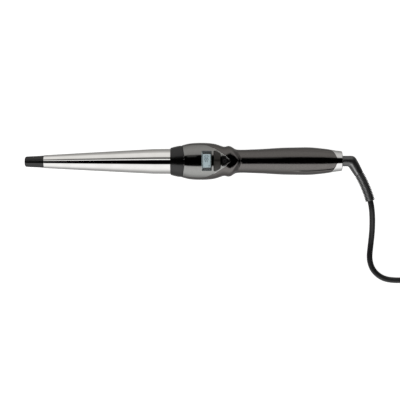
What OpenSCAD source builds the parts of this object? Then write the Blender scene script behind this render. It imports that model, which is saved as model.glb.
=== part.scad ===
// Conical curling wand that lies on its belly, with a swivelling power cord.
// X runs from the tip (-) to the tail (+), the display faces +Z, and the table is at z = 0.

/* [Barrel] */
// Length of the heat-resistant tip cap that shows
tip_len = 18; // [15:0.5:22]
// Radius of the tip cap behind its rounded nose
tip_nose_r = 5.1; // [4.9:0.1:5.4]
// Radius of the barrel beside the tip cap
barrel_tip_r = 6.1; // [6:0.1:6.8]
// Radius of the barrel at the collar
barrel_base_r = 13; // [12.4:0.1:13.1]
// Length of the barrel that shows
barrel_len = 133.5; // [120:0.5:150]
// Length of the nearly parallel stretch before the collar
barrel_parallel_len = 18; // [10:0.5:24]
// Outward bow of the tapered stretch, as a share of its rise
barrel_bow = 0.18; // [0:0.02:0.3]
// Thickness of the barrel's metal
barrel_wall = 1.2; // [0.8:0.1:1.6]
// How far the barrel reaches into the head behind the collar's front
barrel_root_len = 28; // [26.5:0.5:29]

/* [Heater] */
// Length of the aluminium heat spreaders
spreader_len = 92; // [80:1:100]
// Rim thickness of the hollow heat spreaders
spreader_wall = 3; // [2:0.25:3.5]
// Number of ceramic heating tiles
ptc_count = 3; // [2:1:4]
// Length of one ceramic tile
ptc_len = 20; // [16:1:21]
// Width of one ceramic tile
ptc_w = 9; // [7:0.5:10]
// Thickness of one ceramic tile
ptc_t = 2.2; // [1.8:0.1:2.6]
// Thickness of each electrode sheet
electrode_t = 0.3; // [0.2:0.05:0.4]
// Thickness of the insulating film
film_t = 0.3; // [0.2:0.05:0.4]

/* [Collar] */
// Length of the collar along its sides
collar_len = 12; // [10:0.5:14]
// Radius of the collar's front
collar_front_r = 14.3; // [14.1:0.1:14.8]
// How far the collar's rear edge bows back over the top
collar_bow = 2.2; // [1:0.1:3]

/* [Head] */
// Distance from the collar's front to the crest of the neck ring
head_len = 61; // [60:0.5:66]
// Radius of the head beside the collar
shoulder_r = 15.8; // [15.6:0.1:16.4]
// Largest half width of the head
head_half_w = 19; // [18.5:0.25:21]
// Height of the head above the axis
head_crown = 17; // [16.8:0.1:18]
// Depth of the head's belly below the axis
head_belly = 17; // [16.8:0.1:18]
// Wall of the two shells
shell_wall = 2.2; // [2:0.1:2.4]

/* [Grip] */
// Radius of the waist in front of the neck ring
waist_r = 15; // [14.6:0.1:15.4]
// Radius of the neck ring's crest
ring_r = 15.5; // [15.2:0.1:16.5]
// Radius of the slim grip behind the ring
grip_r = 11.8; // [11.4:0.1:12.6]
// Distance from the ring's crest to the tail end
grip_len = 117.5; // [112:0.5:130]
// Half width of the rear swell
swell_half_w = 14.1; // [13.5:0.1:15.5]
// Height of the rear swell above the axis
swell_crown = 15.4; // [14.5:0.1:16.5]
// Depth of the rear swell below the axis, which the wand lies on
swell_belly = 17; // [16:0.1:18]
// Radius of the tail end
tail_r = 10.3; // [10:0.1:11]

/* [Face panel] */
// Thickness of the face panel
panel_t = 1.2; // [0.9:0.05:1.4]
// How far the panel stands proud of the shell
panel_proud = 0.25; // [0.1:0.05:0.4]
// Gap around the panel in its pocket
panel_gap = 0.15; // [0.1:0.05:0.3]
// Largest half width of the panel
panel_half_w = 17; // [16.4:0.1:17.4]

/* [Display] */
// Distance from the collar's front to the middle of the window
window_x = 37.3; // [36:0.1:38.4]
// Length of the window along the wand
window_l = 10; // [9:0.1:10.5]
// Width of the window across the wand
window_w = 19.8; // [17:0.1:20.5]
// Length of the lit area along the wand
lcd_l = 8.2; // [7:0.1:8.6]
// Width of the lit area across the wand
lcd_w = 15; // [13:0.1:16]

/* [Keys] */
// Distance from the collar's front to the front edge of the rocker
rocker_x = 45.1; // [44.6:0.1:45.6]
// Length of the rocker along the wand
rocker_l = 6.6; // [6:0.1:7]
// Width of the rocker across the wand
rocker_w = 20; // [18:0.5:21]
// Tilt of the rocker to each side, in degrees
rocker_tilt = 2.5; // [1.5:0.5:2.5]
// Radius of the rocker's pin
rocker_pin_r = 0.8; // [0.6:0.05:0.9]
// Distance from the rocker to the base of the power button
power_gap = 1.6; // [1.4:0.1:2]
// Length of the power button along the wand
power_l = 7.4; // [6.5:0.1:7.6]
// Width of the power button's base
power_w = 9.4; // [8.6:0.1:10]
// Travel of the power button
power_travel = 0.6; // [0.3:0.05:0.7]
// Gap around the keys
key_gap = 0.3; // [0.25:0.05:0.4]
// How far the keys stand proud of the shell
key_proud = 0.55; // [0.4:0.05:0.8]
// Thickness of the keys
key_t = 2.4; // [2:0.1:2.8]

/* [Circuit board] */
// Length of the circuit board
board_l = 31; // [30:0.5:31.5]
// Width of the circuit board
board_w = 19; // [18:0.5:20]
// Thickness of the circuit board
board_t = 1.6; // [1.2:0.1:2]
// Height of the board's top face above the axis
board_z = 7; // [6.5:0.1:7.5]

/* [Screws] */
// Radius of a screw's shank
screw_r = 1.25; // [1:0.05:1.4]
// Radius of a screw's head
screw_head_r = 2.5; // [2.2:0.1:2.7]
// Length of a screw under its head
screw_len = 9; // [8:0.5:10]
// Distance from the ring's crest to the grip's front screw
front_screw_x = 16; // [14:0.5:24]
// Distance from the tail end to the grip's rear screw
rear_screw_x = 41.5; // [34:0.5:60]

/* [Tail cap] */
// Length of the chrome cap along its sides
cap_len = 14.5; // [13:0.5:16]
// Length of the chrome cap over the top and the bottom
cap_top_len = 5.2; // [4.5:0.1:6.5]
// Wall of the cap's sleeve inside the shells
cap_sleeve_wall = 1.2; // [0.9:0.1:1.4]

/* [Cord swivel] */
// Radius of the neck beside the tail cap
neck_r = 5.5; // [5.2:0.1:6]
// Distance from the tail end to the corner of the elbow
neck_len = 9.8; // [9:0.1:12]
// Turn of the elbow, in degrees
elbow_turn = 60; // [45:1:75]
// Length of the smooth stretch behind the elbow
elbow_len = 16.2; // [14:0.2:18]
// Radius of the ribs on the strain relief
rib_r = 4.7; // [4.5:0.1:5]
// Radius of the strain relief between its ribs
relief_core_r = 4; // [3.8:0.1:4.2]
// Length of the ribbed stretch
relief_len = 29.6; // [26:0.2:32]
// Bend of the ribbed stretch, in degrees
relief_bend = 15; // [8:1:20]
// Number of ribs
rib_count = 18; // [12:1:20]
// Radius of the hollow spindle that turns in the tail
spindle_r = 3; // [2.6:0.1:3.2]
// Radius of the spindle's bore
spindle_bore_r = 1.6; // [1.2:0.1:1.9]
// Running clearance of moving pins and shafts
running_gap = 0.05; // [0.03:0.01:0.08]

/* [Power cord] */
// Diameter of the cord
cord_d = 6; // [5:0.5:7]
// Thickness of the strap that ties the coil
tie_t = 0.9; // [0.6:0.1:1.2]
// Width of the strap that ties the coil
tie_w = 12; // [8:0.5:16]

/* [Plug] */
// Length of the plug's body
plug_l = 31; // [28:0.5:34]
// Width of the plug's body
plug_w = 35; // [30:0.5:36]
// Thickness of the plug's body
plug_h = 13.7; // [12:0.1:14]
// Radius of the plug's pins
pin_r = 2; // [1.8:0.1:2.4]
// Length of the plug's pins
pin_len = 19; // [17:0.5:19]
// Distance between the plug's pins
pin_pitch = 18.6; // [17:0.1:19]

/* [Hidden] */
$fn = 48;

// places along the wand, from the tip to the tail
total_len = tip_len + barrel_len + head_len + grip_len;
x_tip = -total_len / 2;
x_barrel = x_tip + tip_len;
x_collar = x_barrel + barrel_len;
x_ring = x_collar + head_len;
x_tail = x_ring + grip_len;
axis_z = max(head_belly, swell_belly);

sleeve_gap = 0.1;  // between pieces that slide together once
seat_gap = 0.02;   // between pieces that are pressed or screwed together
face_gap = 0.3;    // between faces that turn past each other

// the body of the handle: [x, half width, crown above the axis, belly below it]
x_shoulder = x_collar + collar_len;
body = [
  [x_shoulder - 3, shoulder_r - 0.8, shoulder_r - 1, shoulder_r - 1],
  [x_shoulder, shoulder_r, shoulder_r - 0.3, shoulder_r - 0.3],
  [x_shoulder + 6, head_half_w - 0.9, head_crown - 0.6, head_belly - 0.6],
  [x_shoulder + 12, head_half_w - 0.15, head_crown - 0.1, head_belly - 0.1],
  [x_shoulder + 19, head_half_w, head_crown, head_belly],
  [x_shoulder + 25, head_half_w - 0.35, head_crown - 0.25, head_belly - 0.25],
  [x_shoulder + 31, head_half_w - 1.1, head_crown - 0.8, head_belly - 0.8],
  [x_ring - 12.5, (head_half_w + waist_r) / 2 - 0.3, (head_crown + waist_r) / 2 - 0.6,
    (head_belly + waist_r) / 2 - 0.6],
  [x_ring - 8, waist_r + 0.6, waist_r - 0.1, waist_r - 0.1],
  [x_ring - 4, waist_r + 0.05, waist_r - 0.4, waist_r - 0.4],
  [x_ring - 1.8, ring_r - 0.15, ring_r - 0.5, ring_r - 0.5],
  [x_ring, ring_r, ring_r - 0.3, ring_r - 0.3],
  [x_ring + 1.8, ring_r - 0.5, ring_r - 0.7, ring_r - 0.7],
  [x_ring + 4.2, (ring_r + grip_r) / 2, (ring_r + grip_r) / 2 - 0.2, (ring_r + grip_r) / 2 - 0.2],
  [x_ring + 6.6, grip_r + 0.6, grip_r + 0.5, grip_r + 0.5],
  [x_ring + 10, grip_r, grip_r, grip_r],
  [x_ring + 21, grip_r + 0.15, grip_r + 0.3, grip_r + 0.4],
  [x_ring + 34, (grip_r + swell_half_w) / 2 - 0.45, (grip_r + swell_crown) / 2 - 0.5,
    (grip_r + swell_belly) / 2 - 0.9],
  [x_ring + 46, swell_half_w - 0.8, swell_crown - 1, swell_belly - 1.5],
  [x_ring + 58, swell_half_w - 0.2, swell_crown - 0.2, swell_belly - 0.4],
  [x_ring + 70, swell_half_w, swell_crown, swell_belly],
  [x_tail - 31, swell_half_w - 0.1, swell_crown - 0.5, swell_belly - 1.2],
  [x_tail - 25, swell_half_w - 0.65, swell_crown - 1.6, swell_belly - 2.8],
  [x_tail - 18, (tail_r + swell_half_w) / 2 + 0.55, (tail_r + swell_half_w) / 2 + 0.7,
    (tail_r + swell_half_w) / 2 + 0.9],
  [x_tail - cap_len, tail_r + 2.05, tail_r + 2.05, tail_r + 2.05],
  [x_tail - 9, tail_r + 1.1, tail_r + 1.1, tail_r + 1.1],
  [x_tail - 4, tail_r + 0.4, tail_r + 0.4, tail_r + 0.4],
  [x_tail, tail_r, tail_r, tail_r]
];

// half width of the leaf-shaped face panel: [x, half width]
panel_nose_x = x_ring + 0.8;
panel_outline = [
  [x_shoulder - 1, panel_half_w - 2.1],
  [x_shoulder + 8, panel_half_w - 0.5],
  [x_shoulder + 18, panel_half_w],
  [x_shoulder + 26.5, panel_half_w - 1],
  [x_ring - 15.2, panel_half_w - 3.7],
  [x_ring - 9.2, 9.5],
  [x_ring - 2.4, 4.8],
  [panel_nose_x, 0.8]
];

// A smooth curve through the rows of a table, read in column k at x
function row_before(rows, x, i = 0) =
  i >= len(rows) - 2 || x < rows[i + 1][0] ? i : row_before(rows, x, i + 1);
function row_slope(rows, i, k) =
  let (a = max(i - 1, 0), b = min(i + 1, len(rows) - 1))
  (rows[b][k] - rows[a][k]) / (rows[b][0] - rows[a][0]);
function curve_at(rows, x, k = 1) =
  let (
    i = row_before(rows, x),
    span = rows[i + 1][0] - rows[i][0],
    t = (x - rows[i][0]) / span,
    rise = rows[i + 1][k] - rows[i][k],
    m0 = row_slope(rows, i, k) * span,
    m1 = row_slope(rows, i + 1, k) * span
  )
  rows[i][k] + m0 * t + (3 * rise - 2 * m0 - m1) * t * t + (m0 + m1 - 2 * rise) * t * t * t;

// Point of the handle's skin at x and angle a, moved inwards by depth
function skin_point(x, a, depth) =
  [x, (curve_at(body, x, 1) - depth) * cos(a),
    axis_z + (curve_at(body, x, sin(a) >= 0 ? 2 : 3) - depth) * sin(a)];
// Height of the skin over the middle line at x
function skin_top(x, depth = 0) = axis_z + curve_at(body, x, 2) - depth;
// Height of the skin at x and y, moved inwards by depth
function skin_height(x, y, depth = 0) =
  axis_z + (curve_at(body, x, 2) - depth) * sqrt(1 - pow(y / (curve_at(body, x, 1) - depth), 2));

// Triangles that join the same loop of points in consecutive rings
function ring_walls(rings, n) = [
  for (i = [0:rings - 2], j = [0:n - 1])
    let (a = i * n + j, b = i * n + (j + 1) % n)
    each [[a, b + n, b], [a, a + n, b + n]]
];
// Triangles that close a ring which runs out along one face and back along the other
function strip_cap(first, n, flip) = [
  for (j = [0:n / 2 - 2])
    let (a = first + j, b = a + 1, d = first + n - 1 - j, c = d - 1)
    each flip ? [[a, b, c], [a, c, d]] : [[a, c, b], [a, d, c]]
];
// A solid through rings of n points: strips are closed across their width, round rings by a fan
module strip_sweep(points, rings, n) {
  polyhedron(points, concat(
    ring_walls(rings, n),
    strip_cap(0, n, true),
    strip_cap((rings - 1) * n, n, false)
  ));
}
module round_sweep(points, rings, n) {
  last = (rings - 1) * n;
  polyhedron(points, concat(
    [for (j = [1:n - 2]) [0, j, j + 1]],
    ring_walls(rings, n),
    [for (j = [1:n - 2]) [last, last + j + 1, last + j]]
  ));
}

// A curved plate of the handle's skin between two depths, its edge angle given for every x
module skin_plate(xs, edges, outer, inner, steps = 10) {
  n = 2 * (steps + 1);
  points = [
    for (i = [0:len(xs) - 1], j = [0:n - 1])
      let (k = j <= steps ? j : n - 1 - j, a = edges[i] + (180 - 2 * edges[i]) * k / steps)
      skin_point(xs[i], a, j <= steps ? outer : inner)
  ];
  strip_sweep(points, len(xs), n);
}

// Rows of the shells: [x, share of the tail's tongue]
shell_tongue = cap_len - cap_top_len;
x_shell_end = x_tail - cap_top_len - sleeve_gap;
shell_rows = concat(
  [for (x = [-0.5, 3, 6, 9.5, 13, 16.5, 20, 24, 28, 32]) [x_shoulder + x, 0]],
  [for (x = [-12.5, -9, -6, -4, -2, 0, 2, 4.2, 6.6, 10, 16]) [x_ring + x, 0]],
  [for (x = [23, 30, 37, 44, 51, 58, 65, 72]) [x_ring + x, 0]],
  [[x_tail - 38, 0], [x_tail - 31, 0], [x_tail - 25, 0]],
  [for (t = [0, 0.3, 0.55, 0.8, 1]) [x_shell_end - (1 - t) * (shell_tongue + 5.5), t]]
);
function shell_x(row, a) = row[0] - row[1] * shell_tongue * pow(abs(cos(a)), 8);

// Half of the handle's skin as a shell, from angle start over half a turn
module half_shell(start, steps = 14) {
  n = 2 * (steps + 1);
  points = [
    for (row = shell_rows, j = [0:n - 1])
      let (k = j <= steps ? j : n - 1 - j, a = start + 180 * k / steps)
      skin_point(shell_x(row, a), a, j <= steps ? 0 : shell_wall)
  ];
  strip_sweep(points, len(shell_rows), n);
}

// Turns a profile of [radius, x] into a body of revolution on the wand's axis
module on_axis(x = 0) {
  translate([x, 0, axis_z]) rotate([0, 90, 0]) children();
}
module turned(points) {
  on_axis() rotate_extrude() polygon(points);
}
module axis_tube(x0, x1, outer, inner) {
  turned([[inner, x0], [outer, x0], [outer, x1], [inner, x1]]);
}
module axis_rod(x0, x1, r) {
  on_axis(x0) cylinder(r = r, h = x1 - x0);
}
// A box from its lowest to its highest corner
module block(low, high) {
  translate(low) cube(high - low);
}

// ---- barrel and heater ----

barrel_taper_len = barrel_len - barrel_parallel_len;
barrel_knee_r = barrel_base_r - 0.15;
function barrel_r(x) =
  let (s = (x - x_barrel) / barrel_taper_len)
  s < 1 ? barrel_tip_r + (barrel_knee_r - barrel_tip_r) * (s + barrel_bow * s * (1 - s))
    : min(barrel_base_r, barrel_knee_r + 0.15 * (s - 1) * barrel_taper_len / barrel_parallel_len);
barrel_end = x_collar + barrel_root_len;
barrel_xs = concat(
  [for (i = [0:14]) x_barrel + barrel_taper_len * i / 14],
  [x_collar]
);
clip_groove = 0.4;
clip_x = barrel_end - 1.7;
clip_t = 1;

module tip_cap() {
  nose = 1.6;
  spigot_r = barrel_tip_r - barrel_wall - sleeve_gap;
  color([0.1, 0.1, 0.1]) difference() {
    turned(concat(
      [[0, x_tip]],
      [for (a = [0:15:90]) [tip_nose_r - nose + nose * sin(a), x_tip + nose * (1 - cos(a))]],
      [[tip_nose_r + 0.1, x_tip + 0.6 * tip_len], [barrel_tip_r - 0.2, x_barrel - sleeve_gap]],
      [[spigot_r, x_barrel - sleeve_gap], [spigot_r, x_barrel + 6], [0, x_barrel + 6]]
    ));
    axis_rod(x_barrel - 4, x_barrel + 7, tip_screw_r + seat_gap);
  }
}

tip_screw_r = 1.2;
tip_disc_x = x_barrel + 6.1;
tip_disc_t = 2;
module tip_disc() {
  r = barrel_r(tip_disc_x) - barrel_wall - sleeve_gap;
  color([0.8, 0.8, 0.78]) axis_tube(tip_disc_x, tip_disc_x + tip_disc_t, r, tip_screw_r + seat_gap);
}

module tip_screw() {
  head_x = tip_disc_x + tip_disc_t + seat_gap;
  color([0.7, 0.7, 0.72]) union() {
    axis_rod(x_barrel - 3, head_x + 1, tip_screw_r);
    axis_rod(head_x, head_x + 1.8, tip_screw_r + 1.1);
  }
}

module barrel() {
  inner = [for (i = [len(barrel_xs) - 1:-1:0])
    [barrel_r(barrel_xs[i]) - barrel_wall, barrel_xs[i]]];
  outer = [for (x = barrel_xs) [barrel_r(x), x]];
  color([0.85, 0.85, 0.86]) difference() {
    turned(concat(outer, [[barrel_base_r, barrel_end], [barrel_base_r - barrel_wall, barrel_end]],
      inner));
    axis_tube(clip_x, clip_x + clip_t + sleeve_gap, barrel_base_r + 1, barrel_base_r - clip_groove);
  }
}

module barrel_clip() {
  color([0.6, 0.6, 0.62]) on_axis(clip_x + sleeve_gap / 2)
    rotate_extrude(angle = 320) translate([barrel_base_r - clip_groove + seat_gap, 0])
      square([1 + clip_groove, clip_t]);
}

module heat_bush() {
  outer = head_crown - 0.7 - shell_wall - sleeve_gap;
  color([0.55, 0.35, 0.2])
    axis_tube(x_shoulder + 6, clip_x - sleeve_gap, outer, barrel_base_r + seat_gap);
}

stack_half = ptc_t / 2 + electrode_t + film_t;
spreader_x1 = x_collar + 8;
spreader_x0 = spreader_x1 - spreader_len;
spreader_neck = 6;
clamp_inner_r = 9;
function spreader_r(x) = barrel_r(min(x, x_collar)) - barrel_wall - sleeve_gap;
module spreader_round(inset, x0, x1) {
  xs = [for (i = [0:6]) x0 + (x1 - x0) * i / 6];
  turned(concat([[0, x0]], [for (x = xs) [spreader_r(x) - inset, x]], [[0, x1]]));
}
// side is 1 for the upper half and -1 for the lower one
module heat_spreader(side) {
  flat = stack_half + seat_gap;
  size = 2 * barrel_base_r;
  body_x1 = spreader_x1 - spreader_neck;
  color([0.72, 0.73, 0.75]) difference() {
    union() {
      spreader_round(0, spreader_x0, body_x1);
      axis_rod(body_x1 - 1, spreader_x1, clamp_inner_r - seat_gap);
    }
    translate([spreader_x0 - 1, -size / 2, axis_z + (side > 0 ? flat - size : -flat)])
      cube([spreader_len + 2, size, size]);
    intersection() {
      spreader_round(spreader_wall, spreader_x0 - 1, body_x1 - 2);
      translate([spreader_x0 - 2, -size / 2, axis_z + (side > 0 ? flat + 1.6 : -flat - 1.6 - size)])
        cube([spreader_len, size, size]);
    }
    if (side > 0)
      translate([spreader_x1 - 12, 0, axis_z + thermistor_z]) rotate([0, 90, 0])
        cylinder(r = thermistor_r + seat_gap, h = 13);
  }
}

module heat_spreader_upper() { heat_spreader(1); }
module heat_spreader_lower() { heat_spreader(-1); }

tile_pitch = ptc_len + 1;
tiles_len = ptc_count * tile_pitch - 1;
tiles_x0 = spreader_x1 - 8 - tiles_len;
module ceramic_tiles() {
  color([0.86, 0.84, 0.78]) for (i = [0:ptc_count - 1])
    translate([tiles_x0 + i * tile_pitch, -ptc_w / 2, axis_z - ptc_t / 2])
      cube([ptc_len, ptc_w, ptc_t]);
}

tab_len = 12;
tab_w = 3;
module electrode_sheets() {
  color([0.8, 0.65, 0.4]) for (side = [-1, 1])
    translate([tiles_x0, 0, axis_z + side * (ptc_t + electrode_t) / 2]) union() {
      translate([tiles_len / 2, 0, 0]) cube([tiles_len, ptc_w - 1, electrode_t - seat_gap], true);
      translate([tiles_len + tab_len / 2 - 1, side * (ptc_w - 2) / 4, 0])
        cube([tab_len + 2, tab_w, electrode_t - seat_gap], true);
    }
}

module insulation_film() {
  outer = [tiles_len + 4, ptc_w + 4 * film_t, 2 * stack_half];
  inner = [tiles_len + 6, ptc_w + 2 * film_t, 2 * (stack_half - film_t)];
  color([0.75, 0.5, 0.15]) translate([tiles_x0 + tiles_len / 2, 0, axis_z]) difference() {
    cube(outer, true);
    cube(inner, true);
  }
}

module spreader_clamp() {
  color([0.6, 0.6, 0.62]) on_axis(spreader_x1 - spreader_neck + 1)
    rotate_extrude(angle = 300) translate([clamp_inner_r + seat_gap, 0]) square([1.2, 4]);
}

thermistor_r = 1.2;
thermistor_z = 4.9;
module thermistor() {
  x = spreader_x1 - 11.5;
  bead_len = 6;
  color([0.75, 0.2, 0.15]) translate([x, 0, axis_z + thermistor_z]) rotate([0, 90, 0]) union() {
    cylinder(r = thermistor_r, h = bead_len);
    for (y = [-0.6, 0.6]) translate([0, y, bead_len - 1])
      cylinder(r = 0.35, h = board_x0 + 2 - x - bead_len + 1);
  }
}

// ---- leads ----

// A round lead through a list of points, its rings square to the path
function unit(v) = v / norm(v);
function path_dir(p, i) = unit(p[min(i + 1, len(p) - 1)] - p[max(i - 1, 0)]);
function level_side(d) = unit(cross([0, 0, 1], d));
module round_path(path, r, sides) {
  points = [
    for (i = [0:len(path) - 1])
      let (d = path_dir(path, i), u = level_side(d), v = cross(d, u))
      for (j = [0:sides - 1])
        path[i] + r * (cos(360 * j / sides) * u + sin(360 * j / sides) * v)
  ];
  round_sweep(points, len(path), sides);
}

lead_r = 0.8;
board_x0 = barrel_end + 0.5;
board_under = axis_z + board_z - board_t;
module heater_leads() {
  start_x = tiles_x0 + tiles_len + tab_len + 0.3;
  color([0.85, 0.85, 0.8]) for (side = [-1, 1])
    round_path([
      [start_x, side * 1.75, axis_z + side * 1.25],
      [start_x + 5, side * 2.5, axis_z + side * 1.25],
      [board_x0 + 3, side * 5, axis_z + 1.5],
      [board_x0 + 9, side * 5.5, board_under - lead_r - 0.2]
    ], lead_r, 8);
}

fuse_x = board_x0 + 14;
fuse_r = 2;
module thermal_fuse() {
  color([0.7, 0.7, 0.72]) translate([fuse_x, 0, board_under - fuse_r - 0.1]) rotate([0, 90, 0]) union() {
    cylinder(r = fuse_r, h = 10);
    translate([0, 0, -3]) cylinder(r = 0.4, h = 16);
  }
}

contact_pitch = 5;
ring_xs = [x_tail - 15, x_tail - 15 - contact_pitch];
holder_x0 = ring_xs[1] - 3;
module mains_leads() {
  z = axis_z - 1;
  color([0.5, 0.3, 0.2]) for (side = [-1, 1])
    round_path([
      [board_x0 + board_l - 6, side * 3.4, board_under - lead_r - 0.2],
      [board_x0 + board_l + 2, side * 4.6, z + 2],
      [x_ring + 14, side * 6.8, z],
      [holder_x0 - 35, side * 7, z],
      [holder_x0 - 14, side * 7, z],
      [holder_x0 - 0.3, side * 6.6, axis_z]
    ], lead_r, 8);
}

// ---- collar and shells ----

// Everything in front of the collar's rear edge, grown backwards by the gap
module collar_space(gap) {
  r = shoulder_r + 2;
  linear_extrude(2 * axis_z + 4) polygon(concat(
    [[x_collar - 1, -r], [x_collar - 1, r]],
    [for (i = [8:-1:-8]) let (y = r * i / 8)
      [x_shoulder + gap + collar_bow * (1 - pow(min(abs(y) / shoulder_r, 1), 2)), y]]
  ));
}

module front_collar() {
  corner = 1.2;
  inner = barrel_base_r + sleeve_gap;
  end = x_shoulder + collar_bow;
  color([0.16, 0.16, 0.16]) intersection() {
    turned(concat(
      [[inner, x_collar]],
      [for (a = [0:30:90])
        [collar_front_r - corner * (1 - sin(a)), x_collar + corner * (1 - cos(a))]],
      [[(collar_front_r + shoulder_r) / 2 + 0.15, x_collar + collar_len / 2],
        [shoulder_r - 0.25, x_shoulder], [shoulder_r - 0.25, end], [inner, end]]
    ));
    collar_space(0);
  }
}

// Screw places: [x, y]
screw_places = [
  [x_shoulder + 26, -12.4], [x_shoulder + 26, 12.4],
  [x_ring + front_screw_x, 0], [x_tail - rear_screw_x, 0]
];
screw_head_z = axis_z - 3.5;
boss_r = screw_head_r + 0.9;
pilot_boss_r = screw_r + 1;
board_hole_inset = 2.2;
board_screw_places = [
  for (x = [board_hole_inset, board_l - board_hole_inset], side = [-1, 1])
    [board_x0 + x, side * (board_w / 2 - board_hole_inset)]
];
board_screw_r = 0.8;
board_post_r = 1.7;
board_pilot_len = 2.8;

// What the bosses may fill: the inside of the handle between two sections
module handle_inside(p, r) {
  x0 = p[0] - r - 1;
  xs = [for (i = [0:4]) x0 + (2 * r + 2) * i / 4];
  steps = 16;
  points = [for (x = xs, j = [0:steps - 1]) skin_point(x, 360 * j / steps, shell_wall / 2)];
  round_sweep(points, len(xs), steps);
}

// Outlines of the openings over the display and the keys, seen from above
module window_outline(grow) {
  translate([x_collar + window_x, 0]) square([window_l + 2 * grow, window_w + 2 * grow], true);
}
module rocker_outline(grow) {
  x0 = x_collar + rocker_x - grow;
  x1 = x0 + rocker_l + 2 * grow;
  h = rocker_w / 2 + grow;
  polygon([[x0, -h + 0.8], [x0 + 0.8, -h], [x0 + 2.2, -h], [x1 - 0.9, -h + 2.3], [x1, -h + 4],
    [x1, h - 4], [x1 - 0.9, h - 2.3], [x0 + 2.2, h], [x0 + 0.8, h], [x0, h - 0.8]]);
}
power_x0 = x_collar + rocker_x + rocker_l + power_gap;
module power_outline(grow) {
  x0 = power_x0 - grow;
  x1 = power_x0 + power_l + grow;
  h = power_w / 2 + grow;
  polygon([[x0, -h + 0.6], [x0 + 0.6, -h], [x0 + 1.4, -h + 0.2], [x1 - 0.4, -0.9], [x1, 0],
    [x1 - 0.4, 0.9], [x0 + 1.4, h - 0.2], [x0 + 0.6, h], [x0, h - 0.6]]);
}
module face_openings() {
  translate([0, 0, axis_z + 4]) linear_extrude(head_crown) {
    window_outline(sleeve_gap);
    rocker_outline(key_gap);
    power_outline(key_gap);
  }
}

panel_xs = concat(
  [for (x = [0, 3.5, 7, 11, 15, 19, 23, 27, 31]) x_shoulder + collar_bow + x],
  [for (x = [-12.8, -10, -7, -4.6, -2.4, -1]) x_ring + x],
  [panel_nose_x]
);
// Edge angles of the panel, grown sideways by the gap
function panel_edges(grow) = [
  for (x = panel_xs) acos(min((curve_at(panel_outline, x) + grow) / curve_at(body, x), 0.995))
];
module panel_body(outer, inner, grow) {
  xs = [for (i = [0:len(panel_xs) - 1])
    panel_xs[i] + (i == 0 ? -grow : i == len(panel_xs) - 1 ? grow : 0)];
  skin_plate(xs, panel_edges(grow), outer, inner);
}

module face_panel() {
  color([0.6, 0.6, 0.6]) difference() {
    panel_body(-panel_proud, panel_t, 0);
    face_openings();
  }
}

module upper_shell() {
  pilot_len = screw_len - (axis_z - screw_head_z) + 1.5;
  post_low = axis_z + board_z + seat_gap;
  color([0.4, 0.39, 0.38]) difference() {
    union() {
      half_shell(0);
      for (p = screw_places)
        intersection() {
          handle_inside(p, pilot_boss_r);
          translate([p[0], p[1], axis_z + seat_gap]) cylinder(r = pilot_boss_r, h = head_crown);
        }
      for (p = board_screw_places)
        intersection() {
          handle_inside(p, board_post_r);
          translate([p[0], p[1], post_low]) cylinder(r = board_post_r, h = head_crown);
        }
    }
    collar_space(sleeve_gap);
    panel_body(-2, panel_t + panel_gap, panel_gap);
    face_openings();
    for (p = screw_places)
      translate([p[0], p[1], axis_z - 1]) cylinder(r = screw_r + seat_gap, h = pilot_len + 1);
    for (p = board_screw_places)
      translate([p[0], p[1], post_low - 1]) cylinder(r = board_screw_r + seat_gap, h = board_pilot_len + 1);
  }
}

module lower_shell() {
  color([0.36, 0.35, 0.34]) difference() {
    union() {
      half_shell(180);
      for (p = screw_places)
        intersection() {
          handle_inside(p, boss_r);
          translate([p[0], p[1], 0]) cylinder(r = boss_r, h = axis_z - seat_gap);
        }
    }
    collar_space(sleeve_gap);
    for (p = screw_places) translate([p[0], p[1], 0]) {
      translate([0, 0, -1]) cylinder(r = screw_head_r + sleeve_gap, h = screw_head_z + 1);
      cylinder(r = screw_r + sleeve_gap, h = axis_z + 1);
    }
  }
}

module shell_screws() {
  color([0.65, 0.65, 0.67]) for (p = screw_places)
    translate([p[0], p[1], screw_head_z - seat_gap]) difference() {
      union() {
        cylinder(r = screw_r, h = screw_len);
        translate([0, 0, -1.8]) cylinder(r = screw_head_r, h = 1.8);
      }
      for (a = [0, 90]) rotate([0, 0, a]) translate([-1.4, -0.3, -2]) cube([2.8, 0.6, 1.1]);
    }
}

// ---- display, board and keys ----

window_t = 1.1;
// A piece of the handle's skin under an outline, between two depths
module skin_cut(x0, x1, outer, inner) {
  xs = [for (i = [0:5]) x0 + (x1 - x0) * i / 5];
  intersection() {
    skin_plate(xs, [for (x = xs) 40], outer, inner, 12);
    translate([0, 0, axis_z]) linear_extrude(head_crown + 4) children();
  }
}

module display_window() {
  x = x_collar + window_x;
  color([0.15, 0.17, 0.18, 0.6])
    skin_cut(x - window_l, x + window_l, -panel_proud + 0.05, window_t) window_outline(0);
}

lcd_rim = 1;
lcd_t = 0.9;
glass_z = skin_height(x_collar + window_x, window_w / 2, window_t) - lcd_t - 0.3;
module display_glass() {
  color([0.61, 0.67, 0.68])
    translate([x_collar + window_x, 0, glass_z])
      translate([-lcd_l / 2 - lcd_rim / 2, -lcd_w / 2 - lcd_rim, 0])
        cube([lcd_l + lcd_rim, lcd_w + 2 * lcd_rim, lcd_t]);
}

module display_carrier() {
  l = window_l - 0.6;
  w = lcd_w + 2.4;
  low = axis_z + board_z + seat_gap;
  color([0.9, 0.9, 0.88]) translate([x_collar + window_x, 0, low]) difference() {
    translate([-l / 2, -w / 2, 0]) cube([l, w, glass_z - seat_gap - low]);
    translate([-l / 2 + 1, -w / 2 + 1, -1]) cube([l - 2, w - 2, glass_z - low - 0.4]);
  }
}

module circuit_board() {
  color([0.1, 0.35, 0.2]) difference() {
    translate([board_x0, -board_w / 2, board_under]) cube([board_l, board_w, board_t]);
    for (p = board_screw_places)
      translate([p[0], p[1], board_under - 1]) cylinder(r = board_screw_r + sleeve_gap, h = board_t + 2);
  }
}

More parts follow.
